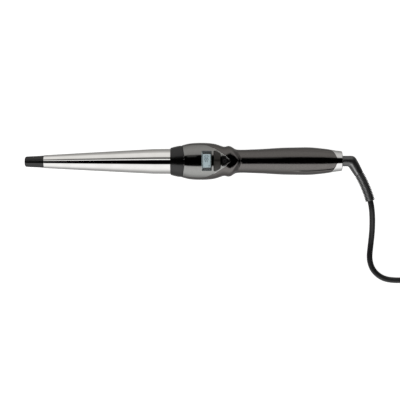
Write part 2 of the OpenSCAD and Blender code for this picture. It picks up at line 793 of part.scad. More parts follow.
module board_screws() {
  low = board_under - seat_gap;
  color([0.7, 0.7, 0.72]) for (p = board_screw_places) translate([p[0], p[1], low]) union() {
    translate([0, 0, -1]) cylinder(r = board_screw_r + 0.7, h = 1);
    cylinder(r = board_screw_r, h = board_t + board_pilot_len - 0.5);
  }
}

// The chip under the display, and the relay, triac and capacitor under the board
module board_parts() {
  top = axis_z + board_z + seat_gap;
  under = board_under - seat_gap;
  chip_x = x_collar + window_x;
  color([0.15, 0.15, 0.16]) union() {
    block([chip_x - 3, -4, top], [chip_x + 3, 4, top + 1.6]);
    block([board_x0 + 0.8, -4, top], [board_x0 + 2.8, 4, top + 1.2]);
    block([board_x0 + 3, -3, under - 4], [board_x0 + 10, 3, under]);
    block([board_x0 + 15, -7, under - 4], [board_x0 + 21, -3, under]);
    translate([board_x0 + 17, 5.2, under - 5]) cylinder(r = 2.3, h = 5);
  }
}

rocker_mid_x = x_collar + rocker_x + rocker_l / 2;
rocker_foot_y = 7;
rocker_pin_z = axis_z + board_z + 3.4;
foot_gap = rocker_foot_y * sin(rocker_tilt) + 0.2;
power_mid_x = power_x0 + 2.7;
switch_top = axis_z + board_z + 2.2;
module key_switches() {
  base = axis_z + board_z + seat_gap;
  places = [[rocker_mid_x, -rocker_foot_y], [rocker_mid_x, rocker_foot_y], [power_mid_x, 0]];
  color([0.75, 0.75, 0.76]) for (p = places) translate([p[0], p[1], base]) union() {
    translate([-1.5, -1.8, 0]) cube([3, 3.6, 1.5]);
    cylinder(r = 0.9, h = switch_top - base);
  }
}

lug_half = 1.3;
module rocker_carrier() {
  base = axis_z + board_z + seat_gap;
  ear = 1.1;
  top = rocker_pin_z + rocker_pin_r + 0.9;
  color([0.25, 0.25, 0.26]) difference() {
    union() {
      block([rocker_mid_x - lug_half - ear - 0.2, -3.6, base],
        [rocker_mid_x + lug_half + ear + 0.2, 3.6, base + 0.8]);
      for (side = [-1, 1]) translate([rocker_mid_x + side * (lug_half + 0.2 + ear / 2), 0, 0])
        block([-ear / 2, -2, base], [ear / 2, 2, top]);
    }
    translate([rocker_mid_x - 6, 0, rocker_pin_z]) rotate([0, 90, 0])
      cylinder(r = rocker_pin_r + seat_gap, h = 12);
  }
}

module rocker_pin() {
  half = lug_half + 1.2;
  color([0.7, 0.7, 0.72]) translate([rocker_mid_x - half, 0, rocker_pin_z]) rotate([0, 90, 0])
    cylinder(r = rocker_pin_r, h = 2 * half);
}

module rocker_key() {
  x0 = x_collar + rocker_x;
  lug_top = skin_top(rocker_mid_x, key_t - 0.4);
  foot_top = skin_height(rocker_mid_x, rocker_foot_y, key_t - 0.4);
  color([0.23, 0.22, 0.21]) difference() {
    union() {
      skin_cut(x0 - 2, x0 + rocker_l + 2, -key_proud, key_t) rocker_outline(0);
      block([rocker_mid_x - lug_half, -1.7, rocker_pin_z - 1.7], [rocker_mid_x + lug_half, 1.7, lug_top]);
      for (side = [-1, 1]) translate([rocker_mid_x, side * rocker_foot_y, switch_top + foot_gap])
        cylinder(r = 1.1, h = foot_top - switch_top - foot_gap);
    }
    translate([x0 - 1, -0.2, skin_top(rocker_mid_x) - 0.1]) cube([rocker_l + 2, 0.4, 3]);
    translate([x0 - 2, 0, rocker_pin_z]) rotate([0, 90, 0])
      cylinder(r = rocker_pin_r + running_gap, h = rocker_l + 4);
  }
}

module power_button() {
  stem_low = switch_top + power_travel + 0.15;
  stem_top = skin_top(power_mid_x, key_t);
  flange_top = shell_wall + face_gap;
  flange_t = 0.8;
  color([0.15, 0.15, 0.15]) union() {
    skin_cut(power_x0 - 2, power_x0 + power_l + 2, -key_proud, flange_top + flange_t) power_outline(0);
    skin_cut(power_x0 - 2, power_x0 + power_l + 2, flange_top, flange_top + flange_t) power_outline(0.9);
    translate([power_mid_x, 0, stem_low]) cylinder(r = 1.3, h = stem_top - stem_low);
  }
}

// ---- tail and swivel ----

spindle_x0 = holder_x0 - 1;
spindle_clip_x = x_tail - 9.5;
ring_len = 2.6;
slip_ring_r = spindle_r + 1.2;
bush_r = spindle_r + 3;
sleeve_r = tail_r - shell_wall - sleeve_gap;

// Outline seen from above of the two shells' rear ends, grown by the gap
module tongue_outline(gap) {
  r = tail_r + 2.05;
  polygon(concat(
    [[x_tail - cap_len - 8, r + 1], [x_tail - cap_len - 8, -r - 1]],
    [for (i = [-12:12]) let (c = sin(90 * i / 12))
      [x_shell_end + gap - shell_tongue * pow(abs(c), 8), c * (r + 0.2)]]
  ));
}

module tail_cap() {
  xs = [for (i = [0:8]) x_tail - cap_len + cap_len * i / 8];
  edge = 0.5;
  skirt_r = sleeve_r - cap_sleeve_wall / 2;
  color([0.85, 0.85, 0.86]) union() {
    difference() {
      turned(concat(
        [[skirt_r, x_tail - cap_len]],
        [for (i = [0:7]) [curve_at(body, xs[i]), xs[i]]],
        [[tail_r + 0.02, x_tail - edge], [tail_r - edge, x_tail], [skirt_r, x_tail]]
      ));
      translate([0, 0, -1]) linear_extrude(2 * axis_z + 4) tongue_outline(sleeve_gap);
    }
    axis_tube(x_tail - cap_len - 3, x_tail, sleeve_r, sleeve_r - cap_sleeve_wall);
    axis_tube(x_tail - 2.2, x_tail, sleeve_r - cap_sleeve_wall / 2, bush_r + seat_gap);
  }
}

module swivel_bush() {
  inner = spindle_r + running_gap;
  x0 = spindle_clip_x + 0.8 + face_gap;
  color([0.9, 0.89, 0.84]) union() {
    axis_tube(x0, x_tail - 0.1, bush_r, inner);
    axis_tube(x0, x_tail - 2.4, sleeve_r - cap_sleeve_wall - sleeve_gap, bush_r - 0.5);
  }
}

module contact_holder() {
  outer = sleeve_r - cap_sleeve_wall - sleeve_gap;
  inner = slip_ring_r + 1.2;
  color([0.85, 0.83, 0.75]) difference() {
    axis_tube(holder_x0, spindle_clip_x - 0.8, outer, inner);
    for (x = ring_xs)
      block([x - 0.2, -1.2, axis_z + inner - 0.4], [x + ring_len + 0.2, 1.2, axis_z + outer - 0.5]);
  }
}

module contact_springs() {
  low = axis_z + slip_ring_r + 0.1;
  inner = slip_ring_r + 1.2;
  color([0.8, 0.6, 0.3]) for (x = ring_xs) union() {
    block([x + 0.3, -1, low], [x + ring_len - 0.3, 1, low + 0.4]);
    block([x + 0.9, -0.9, low + 0.3], [x + ring_len - 0.9, 0.9, axis_z + inner + 0.6]);
  }
}

module swivel_spindle() {
  color([0.65, 0.65, 0.67]) difference() {
    axis_rod(spindle_x0, x_tail + neck_len - 2, spindle_r);
    axis_rod(spindle_x0 - 1, x_tail + neck_len, spindle_bore_r);
    axis_tube(spindle_clip_x, spindle_clip_x + 0.8, spindle_r + 1, spindle_r - 0.5);
  }
}

module slip_rings() {
  color([0.85, 0.65, 0.3]) for (x = ring_xs)
    axis_tube(x, x + ring_len, slip_ring_r, spindle_r + seat_gap);
}

module spindle_clip() {
  color([0.5, 0.5, 0.52]) on_axis(spindle_clip_x + 0.05) rotate_extrude(angle = 290)
    translate([spindle_r - 0.5 + seat_gap, 0]) square([2, 0.7]);
}

elbow = [x_tail + neck_len, 0, axis_z];
relief_start = elbow + elbow_len * [cos(elbow_turn), -sin(elbow_turn), 0];
relief_bend_r = relief_len / (relief_bend * PI / 180);
rib_pitch = relief_len / rib_count;
// Centre of the ribbed stretch's bend, and a place on it at a share of its length
relief_centre = relief_start - relief_bend_r * [sin(elbow_turn), cos(elbow_turn), 0];
module along_relief(share) {
  a = 90 - elbow_turn - relief_bend * share;
  translate(relief_centre) rotate([0, 0, a]) translate([relief_bend_r, 0, 0])
    rotate([90, 0, 0]) children();
}

module swivel_boot() {
  color([0.12, 0.12, 0.12]) difference() {
    union() {
      axis_rod(x_tail + face_gap, elbow[0], neck_r);
      translate(elbow) sphere(r = neck_r + 0.15);
      translate(elbow) rotate([0, 90, -elbow_turn]) cylinder(r1 = neck_r, r2 = rib_r, h = elbow_len);
      translate(relief_centre) rotate([0, 0, 90 - elbow_turn - relief_bend])
        rotate_extrude(angle = relief_bend) translate([relief_bend_r, 0]) circle(r = relief_core_r);
      for (i = [0:rib_count - 1]) along_relief((i + 0.5) / rib_count)
        cylinder(r = rib_r, h = 0.5 * rib_pitch, center = true);
      along_relief(1) translate([0, 0, -0.2 * rib_pitch]) cylinder(r = rib_r - 0.1, h = 0.2 * rib_pitch);
    }
    axis_rod(x_tail, x_tail + neck_len - 2 + seat_gap, spindle_r + seat_gap);
  }
}

// ---- power cord and plug ----

cord_r = cord_d / 2;
coil_centre = [288, -77];
coil_low = 1.1;
coil_inner_r = 21;
coil_outer_r = 51;
coil_h = 12;
plug_x = 336;
plug_rear_y = -16;
relief_tail_len = 24;
plug_mid_z = plug_h / 2;

cord_route = [
  [194.3, -41.8, 17], [195.3, -46.5, 16.7], [196.3, -53, 15], [197.1, -61, 11.8],
  [197.5, -69, 8.4], [197.4, -77, 5.6], [196.8, -85, 3.8], [196.1, -92, 3.1],
  [195.5, -99, 3], [196.2, -106.5, 3], [199, -113.5, 3], [204.2, -119.3, 3],
  [211.2, -123.2, 3], [219.5, -124.8, 3.2], [230, -125, 3.8], [243, -125, 4.1],
  [256, -125, 4.1], [270, -125, 4.1]
];
tail_route = [
  [plug_x, -72, 10.1], [plug_x, -66, 9.8], [plug_x, -60, 9], [plug_x, -54, 8], [plug_x, -48, 7.2],
  [plug_x, -44, plug_mid_z], [plug_x, plug_rear_y - relief_tail_len, plug_mid_z]
];

module power_cord() {
  color([0.13, 0.13, 0.13]) round_path(cord_route, cord_r, 10);
}
module cord_tail() {
  color([0.13, 0.13, 0.13]) round_path(tail_route, cord_r, 10);
}

module cord_coil() {
  corner = 3;
  profile = [
    for (q = [[coil_outer_r, coil_low, 270], [coil_outer_r, coil_low + coil_h, 0],
        [coil_inner_r, coil_low + coil_h, 90], [coil_inner_r, coil_low, 180]])
      let (cx = q[0] + (q[0] > 30 ? -corner : corner), cy = q[1] + (q[1] < 5 ? corner : -corner))
      for (a = [0:30:90]) [cx + corner * cos(q[2] + a), cy + corner * sin(q[2] + a)]
  ];
  color([0.13, 0.13, 0.13]) translate([coil_centre[0], coil_centre[1], 0])
    rotate_extrude() polygon(profile);
}

module cord_tie() {
  gap = 0.15;
  low_r = coil_inner_r - 1.1;
  high_r = coil_outer_r + gap;
  color([0.2, 0.2, 0.2]) translate([coil_centre[0], coil_centre[1], 0]) difference() {
    block([-high_r - tie_t, -tie_w / 2, coil_low - gap - tie_t],
      [-low_r + tie_t, tie_w / 2, coil_low + coil_h + gap + tie_t]);
    block([-high_r, -tie_w, coil_low - gap], [-low_r, tie_w, coil_low + coil_h + gap]);
  }
}

// Drawn with the plug's rear at the origin and its pins along -X.
module at_plug() {
  translate([plug_x, plug_rear_y, 0]) rotate([0, 0, -90]) children();
}

pin_root_r = pin_r + 0.5;
pin_root_len = 9.5;
module plug_body() {
  bevel = 3.2;
  half = plug_w / 2;
  neck = 7.5;
  color([0.12, 0.12, 0.12]) at_plug() union() {
    difference() {
      intersection() {
        linear_extrude(plug_h) polygon([
          [-plug_l, -half], [13 - plug_l, -half], [-2, -neck], [0, 1.5 - neck],
          [0, neck - 1.5], [-2, neck], [13 - plug_l, half], [-plug_l, half]
        ]);
        translate([-plug_l - 1, 0, 0]) rotate([90, 0, 90]) linear_extrude(plug_l + 2)
          polygon([[-half + bevel, 0], [half - bevel, 0], [half, bevel], [half, plug_h - bevel],
            [half - bevel, plug_h], [-half + bevel, plug_h], [-half, plug_h - bevel], [-half, bevel]]);
      }
      for (side = [-1, 1]) translate([-plug_l - 1, side * pin_pitch / 2, plug_mid_z])
        rotate([0, 90, 0]) cylinder(r = pin_root_r + seat_gap, h = pin_root_len + 1 + seat_gap);
    }
    translate([-1, 0, plug_mid_z]) rotate([0, 90, 0])
      cylinder(r1 = 5.2, r2 = 4.2, h = relief_tail_len + 1);
  }
}

module plug_pins() {
  color([0.8, 0.8, 0.82]) at_plug() for (side = [-1, 1])
    translate([-plug_l, side * pin_pitch / 2, plug_mid_z]) rotate([0, -90, 0]) union() {
      translate([0, 0, -pin_root_len]) cylinder(r = pin_root_r, h = pin_root_len);
      cylinder(r = pin_r, h = pin_len - 1);
      translate([0, 0, pin_len - 1]) cylinder(r1 = pin_r, r2 = pin_r - 0.9, h = 1);
    }
}

tip_cap();
tip_disc();
tip_screw();
barrel();
barrel_clip();
heat_bush();
heat_spreader_upper();
heat_spreader_lower();
ceramic_tiles();
electrode_sheets();
insulation_film();
spreader_clamp();
thermistor();
thermal_fuse();
heater_leads();
front_collar();
upper_shell();
lower_shell();
shell_screws();
face_panel();
display_window();
display_glass();
display_carrier();
circuit_board();
board_parts();
board_screws();
key_switches();
rocker_carrier();
rocker_pin();
rocker_key();
power_button();
mains_leads();
tail_cap();
swivel_bush();
contact_holder();
contact_springs();
swivel_spindle();
slip_rings();
spindle_clip();
swivel_boot();
power_cord();
cord_coil();
cord_tie();
cord_tail();
plug_body();
plug_pins();
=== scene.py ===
"""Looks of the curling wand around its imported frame. Sizes are in millimetres unless they say metres."""

import logging
import math
from collections.abc import Callable, Sequence
from dataclasses import dataclass, field
from enum import Enum
from functools import partial

import bpy
import numpy as np
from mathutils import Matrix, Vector
from mathutils.geometry import delaunay_2d_cdt

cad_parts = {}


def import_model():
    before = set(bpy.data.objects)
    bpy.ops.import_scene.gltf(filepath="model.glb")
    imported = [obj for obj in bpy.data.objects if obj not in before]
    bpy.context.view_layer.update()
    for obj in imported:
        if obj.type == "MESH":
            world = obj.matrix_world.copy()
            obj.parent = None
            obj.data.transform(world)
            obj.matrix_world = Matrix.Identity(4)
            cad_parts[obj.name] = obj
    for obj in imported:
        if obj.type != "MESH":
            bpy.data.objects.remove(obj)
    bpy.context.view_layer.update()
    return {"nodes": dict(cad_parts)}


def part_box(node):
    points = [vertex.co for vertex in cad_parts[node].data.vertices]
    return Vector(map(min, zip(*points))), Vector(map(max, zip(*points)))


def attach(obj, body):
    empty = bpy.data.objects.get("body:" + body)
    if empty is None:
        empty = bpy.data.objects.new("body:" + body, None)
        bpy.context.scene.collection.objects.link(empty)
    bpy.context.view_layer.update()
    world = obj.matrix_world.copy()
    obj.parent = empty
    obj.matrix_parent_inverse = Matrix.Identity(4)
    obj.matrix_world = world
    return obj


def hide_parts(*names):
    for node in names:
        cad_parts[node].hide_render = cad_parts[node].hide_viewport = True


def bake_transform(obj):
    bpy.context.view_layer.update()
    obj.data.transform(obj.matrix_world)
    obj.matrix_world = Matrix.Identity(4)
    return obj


LOG = logging.getLogger("curling_wand")
MM = 0.001
AXIS_Z = 17.0
X_TIP = -165.0
X_BARREL = -144.9
X_COLLAR = -13.5
X_SHOULDER = -1.5
X_RING = 47.5
X_TAIL = 165.0
X_CAP_END = 164.7
X_SHELL_END = 158.4
COLLAR_BOW = 2.2
SHOULDER_R = 16.6
SHELL_WALL = 2.2
Points = np.ndarray
Loop = np.ndarray


def tint(code: str) -> tuple[float, float, float, float]:
    """Turns an sRGB hex colour to linear.

    Args:
        code: Six hex digits.

    Returns:
        Red, green, blue and alpha for a node socket.
    """
    parts = [int(code[i : i + 2], 16) / 255 for i in (0, 2, 4)]
    line = [p / 12.92 if p <= 0.04045 else ((p + 0.055) / 1.055) ** 2.4 for p in parts]
    return (line[0], line[1], line[2], 1.0)


def add(
    tree: bpy.types.NodeTree,
    kind: str,
    sockets: dict[str | int, object] | None = None,
    **settings: object,
) -> bpy.types.Node:
    """Adds a node with its settings and links.

    Args:
        tree: The tree it goes into.
        kind: The node's type name.
        sockets: What goes into each input: a value, a node's output, or a node for its first output.
        **settings: The node's own properties.

    Returns:
        The new node.
    """
    node = tree.nodes.new(kind)
    for key, value in settings.items():
        setattr(node, key, value)
    for key, value in (sockets or {}).items():
        source = value.outputs[0] if isinstance(value, bpy.types.Node) else value
        if isinstance(source, bpy.types.NodeSocket):
            tree.links.new(source, node.inputs[key])
        else:
            node.inputs[key].default_value = source
    return node


def blank(name: str) -> bpy.types.Material:
    """A new material whose tree is still empty."""
    made = bpy.data.materials.new(name)
    made.use_nodes = True
    made.node_tree.nodes.clear()
    return made


def flat_sheet(name: str, corners: Sequence[Sequence[float]], look: bpy.types.Material) -> bpy.types.Object:
    """A flat sheet of the studio, from its four corners in metres."""
    mesh = bpy.data.meshes.new(name)
    mesh.from_pydata([tuple(c) for c in corners], [], [(0, 1, 2, 3)])
    mesh.materials.append(look)
    made = bpy.data.objects.new(name, mesh)
    bpy.context.collection.objects.link(made)
    return made


# ---- curves and the handle's skin ----


class Spline:
    """The smoothest curve through the rows of a table."""

    def __init__(self, xs: Sequence[float], ys: Sequence[float]) -> None:
        """Works out the curve's second derivatives.

        Args:
            xs: Places along the wand, rising.
            ys: The value at each place.
        """
        self.xs = np.array(xs, float)
        self.ys = np.array(ys, float)
        n = len(xs)
        span = np.diff(self.xs)
        rise = np.diff(self.ys) / span
        square = np.eye(n)
        right = np.zeros(n)
        for i in range(1, n - 1):
            square[i, i - 1 : i + 2] = span[i - 1], 2 * (span[i - 1] + span[i]), span[i]
            right[i] = 6 * (rise[i] - rise[i - 1])
        self.bend = np.linalg.solve(square, right)

    def at(self, x: float | Points) -> Points:
        """The curve's value at x, held level past its ends."""
        x = np.clip(np.asarray(x, float), self.xs[0], self.xs[-1])
        i = np.clip(np.searchsorted(self.xs, x) - 1, 0, len(self.xs) - 2)
        span = self.xs[i + 1] - self.xs[i]
        a = (self.xs[i + 1] - x) / span
        b = 1 - a
        curved = (a**3 - a) * self.bend[i] + (b**3 - b) * self.bend[i + 1]
        return a * self.ys[i] + b * self.ys[i + 1] + curved * span**2 / 6


def eased(value: float | Points, low: float, high: float) -> Points:
    """Rises smoothly from 0 at low to 1 at high."""
    t = np.clip((np.asarray(value, float) - low) / (high - low), 0, 1)
    return t * t * (3 - 2 * t)


@dataclass(frozen=True)
class Skin:
    """The handle's outer skin: an oval section, and a ring whose crest is drawn back to a chevron on top."""

    head_half_w: float = 19.1
    head_crown: float = 17.0
    waist_r: float = 15.1
    ring_r: float = 15.95
    grip_r: float = 12.05
    swell_half_w: float = 14.25
    swell_crown: float = 15.4
    swell_belly: float = 17.0
    tail_r: float = 10.3
    crest_shift: float = 7.5
    facet_slope: float = 0.42
    facet_lead: float = 9.0
    facet_fall: float = 5.5
    ridge: float = 0.6
    peak_round: float = 0.01
    facet_foot: tuple[float, float] = (51.9, -4.6)
    facet_top: tuple[float, float] = (45.9, 11.4)
    curves: dict[str, Spline] = field(default_factory=dict)

    def __post_init__(self) -> None:
        """Draws the half width, the crown and the belly through the section rows."""
        rows = np.array(self.rows())
        for k, name in enumerate(("wide", "crown", "belly"), start=1):
            self.curves[name] = Spline(rows[:, 0], rows[:, k])

    def rows(self) -> list[tuple[float, float, float, float]]:
        """The sections, each as place, half width, crown and belly."""
        w, c, waist, ring = self.head_half_w, self.head_crown, self.waist_r, self.ring_r
        grip, tail, swell = self.grip_r, self.tail_r, self.swell_half_w
        top, low = self.swell_crown, self.swell_belly
        cove = (ring + grip) / 2
        neck = (c + waist) / 2 - 0.6
        head = [
            (X_SHOULDER - 3, SHOULDER_R - 0.8, SHOULDER_R - 1, SHOULDER_R - 1),
            (X_SHOULDER, SHOULDER_R, SHOULDER_R - 0.3, SHOULDER_R - 0.3),
            (X_SHOULDER + 6, w - 0.9, c - 0.6, c - 0.6),
            (X_SHOULDER + 12, w - 0.15, c - 0.1, c - 0.1),
            (X_SHOULDER + 19, w + 0.1, c, c),
            (X_SHOULDER + 25, w, c - 0.25, c - 0.25),
            (X_SHOULDER + 31, w - 0.5, c - 0.8, c - 0.8),
            (X_RING - 12.5, (w + waist) / 2 + 0.35, neck, neck),
            (X_RING - 8, waist + 0.8, waist - 0.1, waist - 0.1),
            (X_RING - 4, waist + 0.2, waist - 0.4, waist - 0.4),
            (X_RING - 1.8, ring - 0.1, ring - 0.5, ring - 0.5),
            (X_RING, ring, ring - 0.3, ring - 0.3),
            (X_RING + 1.8, ring - 0.5, ring - 0.7, ring - 0.7),
            (X_RING + 4.2, cove, cove - 0.2, cove - 0.2),
        ]
        return head + [
            (X_RING + 6.6, grip + 0.6, grip + 0.5, grip + 0.5),
            (X_RING + 10, grip, grip, grip),
            (X_RING + 21, grip + 0.15, grip + 0.3, grip + 0.4),
            (X_RING + 34, (grip + swell) / 2 - 0.45, (grip + top) / 2 - 0.5, (grip + low) / 2 - 0.9),
            (X_RING + 46, swell - 0.8, top - 1, low - 1.5),
            (X_RING + 58, swell - 0.2, top - 0.2, low - 0.4),
            (X_RING + 70, swell, top, low),
            (X_TAIL - 31, swell - 0.1, top - 0.5, low - 1.2),
            (X_TAIL - 25, swell - 0.65, top - 1.6, low - 2.8),
            (X_TAIL - 18, (tail + swell) / 2 + 0.55, (tail + swell) / 2 + 0.7, (tail + swell) / 2 + 0.9),
            (X_TAIL - 14.5, tail + 2.05, tail + 2.05, tail + 2.05),
            (X_TAIL - 9, tail + 1.1, tail + 1.1, tail + 1.1),
            (X_TAIL - 4, tail + 0.4, tail + 0.4, tail + 0.4),
            (X_TAIL, tail, tail, tail),
        ]

    def wide(self, x: float | Points) -> Points:
        """Half width at x."""
        return self.curves["wide"].at(x)

    def point(self, x: float | Points, turn: float | Points, depth: float | Points = 0.0) -> Points:
        """Points of the skin.

        Args:
            x: Places along the wand.
            turn: Angles from the top, in radians, growing towards +Y.
            depth: How far the points lie inside the skin.

        Returns:
            An array whose last side holds x, y and z.
        """
        x, turn, depth = np.broadcast_arrays(
            np.asarray(x, float), np.asarray(turn, float), np.asarray(depth, float)
        )
        up = np.cos(turn)
        peak = np.where(up > 0, 1 - np.sqrt(np.sin(turn) ** 2 + self.peak_round), 0).clip(0, 1)
        drawn = eased(x, 38, 54.5) * (1 - eased(x, 55.5, 63))
        at = x - self.crest_shift * peak * drawn
        tall = np.where(up >= 0, self.curves["crown"].at(at), self.curves["belly"].at(at))
        low, high = (start + pull * peak for start, pull in (self.facet_foot, self.facet_top))
        deep = self.facet_slope * (high - low).clip(0)
        climb = ((high - x) / (high - low).clip(0.5)).clip(0, 1)
        lead = ((x - low) / self.facet_lead + 1).clip(0, 1) * 0.5
        fall = (1 - eased(x - high, 0, self.facet_fall)) * 0.5
        tall = tall - deep * np.where(x < low, lead, np.where(x < high, climb - 0.5, -fall))
        tall = tall + self.ridge * peak * np.exp(-(((x - high - 0.6) / 1.5) ** 2))
        y = (self.wide(at) - depth) * np.sin(turn)
        return np.stack([x, y, AXIS_Z + (tall - depth) * up], -1)

    def frame(self, x: Points, turn: Points) -> tuple[Points, Points, Points]:
        """Unit directions along the wand, round it and outwards at points of the skin."""
        step = 0.01
        along = self.point(x + step, turn) - self.point(x - step, turn)
        across = self.point(x, turn + step / 10) - self.point(x, turn - step / 10)
        along /= np.linalg.norm(along, axis=-1, keepdims=True)
        across /= np.linalg.norm(across, axis=-1, keepdims=True)
        out = np.cross(across, along)
        out /= np.linalg.norm(out, axis=-1, keepdims=True)
        rise = out[..., 2:] * np.cos(turn)[..., None] + out[..., 1:2] * np.sin(turn)[..., None]
        out *= np.where(rise < 0, -1, 1)
        return along, across, out


SKIN = Skin()


def collar_edge(y: float | Points) -> Points:
    """Where the front collar ends at y from the middle line."""
    return X_SHOULDER + COLLAR_BOW * (1 - np.minimum(np.abs(y) / SHOULDER_R, 1) ** 2)


def tongue_back(y: float | Points) -> Points:
    """How far the shells' rear edge is drawn back at y, a share of the radius from the middle line."""
    return 4.9 * np.abs(y) ** 2.3 + 2.5 * np.abs(y) ** 20


# ---- meshes ----


class Shape:
    """Points and faces that become one piece."""

    def __init__(self) -> None:
        """Starts with nothing in it."""
        self.points: list[tuple[float, float, float]] = []
        self.faces: list[tuple[int, ...]] = []
        self.normals: list[list[Sequence[float]]] = []

    def put(self, points: Points) -> int:
        """Adds points and returns the number of the first."""
        first = len(self.points)
        self.points += [tuple(p) for p in np.asarray(points, float).reshape(-1, 3)]
        return first

    def face(self, corners: Sequence[int], normals: Sequence[Sequence[float]] | None = None) -> None:
        """Adds a face, with its corners' normals where they are known."""
        self.faces.append(tuple(int(c) for c in corners))
        if normals is not None:
            self.normals.append(list(normals))

    def tube(self, rings: Points, closed: bool = False) -> None:
        """Joins rings of points by a skin.

        Args:
            rings: An array of rings by points by 3. A first or last ring of equal points is a pole.
            closed: Whether the last ring joins the first. Otherwise the two ends are closed.
        """
        count, n = rings.shape[:2]
        index = np.zeros((count, n), int)
        for k, ring in enumerate(rings):
            pole = np.ptp(ring, axis=0).max() < 1e-6
            first = self.put(ring[:1] if pole else ring)
            index[k] = first if pole else np.arange(first, first + n)
        for k in range(count if closed else count - 1):
            a, b = index[k], index[(k + 1) % count]
            for j in range(n):
                i = (j + 1) % n
                corners = list(dict.fromkeys((a[j], a[i], b[i], b[j])))
                if len(corners) > 2:
                    self.face(corners)
        if not closed:
            for ends in (index[0], index[-1][::-1]):
                if ends[0] != ends[1]:
                    self.face(ends[::-1])

    def box(self, low: Sequence[float], high: Sequence[float]) -> None:
        """Adds a block from its lowest to its highest corner."""
        x0, y0, z0 = low
        x1, y1, z1 = high
        ring = [(x0, y0), (x1, y0), (x1, y1), (x0, y1)]
        self.tube(np.array([[(x, y, z) for x, y in ring] for z in (z0, z1)]))

    def volume(self) -> float:
        """Six times the space inside the faces, below zero if they point inwards."""
        p = np.array(self.points)
        total = 0.0
        for f in self.faces:
            a = p[f[0]]
            for k in range(1, len(f) - 1):
                total += float(np.dot(a, np.cross(p[f[k]], p[f[k + 1]])))
        return total

    def piece(self, name: str, finish: "Finish", sharp: float = 35.0) -> bpy.types.Object:
        """Makes the piece.

        Args:
            name: The piece's name.
            finish: What its surface is.
            sharp: Edges that turn more than this many degrees stay sharp.

        Returns:
            The object, at the origin.
        """
        faces = self.faces
        normals = self.normals
        if self.volume() < 0:
            faces = [f[::-1] for f in faces]
            normals = [n[::-1] for n in normals]
        mesh = bpy.data.meshes.new(name)
        mesh.from_pydata((np.array(self.points) * MM).tolist(), [], faces)
        mesh.polygons.foreach_set("use_smooth", [True] * len(mesh.polygons))
        if normals:
            mesh.normals_split_custom_set([tuple(n) for corners in normals for n in corners])
        else:
            mesh.set_sharp_from_angle(angle=math.radians(sharp))
        mesh.materials.append(finish.material())
        obj = bpy.data.objects.new(name, mesh)
        bpy.context.collection.objects.link(obj)
        return obj


def rounded(corners: Sequence[Sequence[float]], radius: float, step: float = 0.4) -> Loop:
    """Rounds the corners of an outline and divides its sides.

    Args:
        corners: The outline's corners, in a plane.
        radius: The most that a corner is rounded by.
        step: The longest side that is left undivided.

    Returns:
        The new outline's points.
    """
    p = np.array(corners, float)
    n = len(p)
    line: list[Points] = []
    for i in range(n):
        before, here, after = p[i - 1], p[i], p[(i + 1) % n]
        u, v = before - here, after - here
        lu, lv = np.linalg.norm(u), np.linalg.norm(v)
        u, v = u / lu, v / lv
        half = math.acos(float(np.clip(np.dot(u, v), -1, 1))) / 2
        cut = min(radius / max(math.tan(half), 1e-3), 0.45 * lu, 0.45 * lv)
        if half > 1.5 or cut < 1e-3:
            line.append(here)
            continue
        for t in np.linspace(0, 1, 6):
            line.append((1 - t) ** 2 * (here + cut * u) + 2 * t * (1 - t) * here + t**2 * (here + cut * v))
    out: list[Points] = []
    count = len(line)
    for i in range(count):
        a, b = line[i], line[(i + 1) % count]
        parts = max(1, math.ceil(float(np.linalg.norm(b - a)) / step))
        out += [a + (b - a) * k / parts for k in range(parts)]
    return np.array(out)


def oblong(x: float, half_l: float, half_w: float, radius: float) -> Loop:
    """A rounded oblong about the middle line, from above."""
    corners = [(x - half_l, -half_w), (x + half_l, -half_w), (x + half_l, half_w), (x - half_l, half_w)]
    return rounded(corners, radius, 0.5)


def softened(loop: Loop, step: float, passes: int) -> Loop:
    """Divides a closed outline evenly and eases its corners.

    Args:
        loop: The outline.
        step: The new distance between its points.
        passes: How often each point is drawn towards its neighbours.

    Returns:
        The new outline.
    """
    ends = np.vstack([loop, loop[:1]])
    run = np.concatenate([[0], np.cumsum(np.linalg.norm(np.diff(ends, axis=0), axis=1))])
    even = np.linspace(0, run[-1], round(run[-1] / step), endpoint=False)
    soft = np.stack([np.interp(even, run, ends[:, k]) for k in (0, 1)], 1)
    for _ in range(passes):
        soft = 0.5 * soft + 0.25 * (np.roll(soft, 1, 0) + np.roll(soft, -1, 0))
    return soft


def loop_outward(loop: Loop) -> Loop:
    """Unit directions that point out of a closed outline, one at each of its points."""
    ahead = np.roll(loop, -1, 0) - loop
    behind = loop - np.roll(loop, 1, 0)
    ahead /= np.maximum(np.linalg.norm(ahead, axis=1, keepdims=True), 1e-9)
    behind /= np.maximum(np.linalg.norm(behind, axis=1, keepdims=True), 1e-9)
    way = ahead + behind
    way /= np.maximum(np.linalg.norm(way, axis=1, keepdims=True), 1e-9)
    out = np.stack([way[:, 1], -way[:, 0]], 1)
    nxt = np.roll(loop, -1, 0)
    area = float(np.sum(loop[:, 0] * nxt[:, 1] - nxt[:, 0] * loop[:, 1]))
    return out if area > 0 else -out


def inside(points: Loop, loop: Loop) -> np.ndarray:
    """Which points lie inside a closed outline."""
    x, y = points[:, 0][:, None], points[:, 1][:, None]
    x0, y0 = loop[:, 0][None], loop[:, 1][None]
    x1, y1 = np.roll(loop[:, 0], -1)[None], np.roll(loop[:, 1], -1)[None]
    over = (y0 > y) != (y1 > y)
    with np.errstate(divide="ignore", invalid="ignore"):
        cross = x < (x1 - x0) * (y - y0) / (y1 - y0) + x0
    return (over & cross).sum(1) % 2 == 1


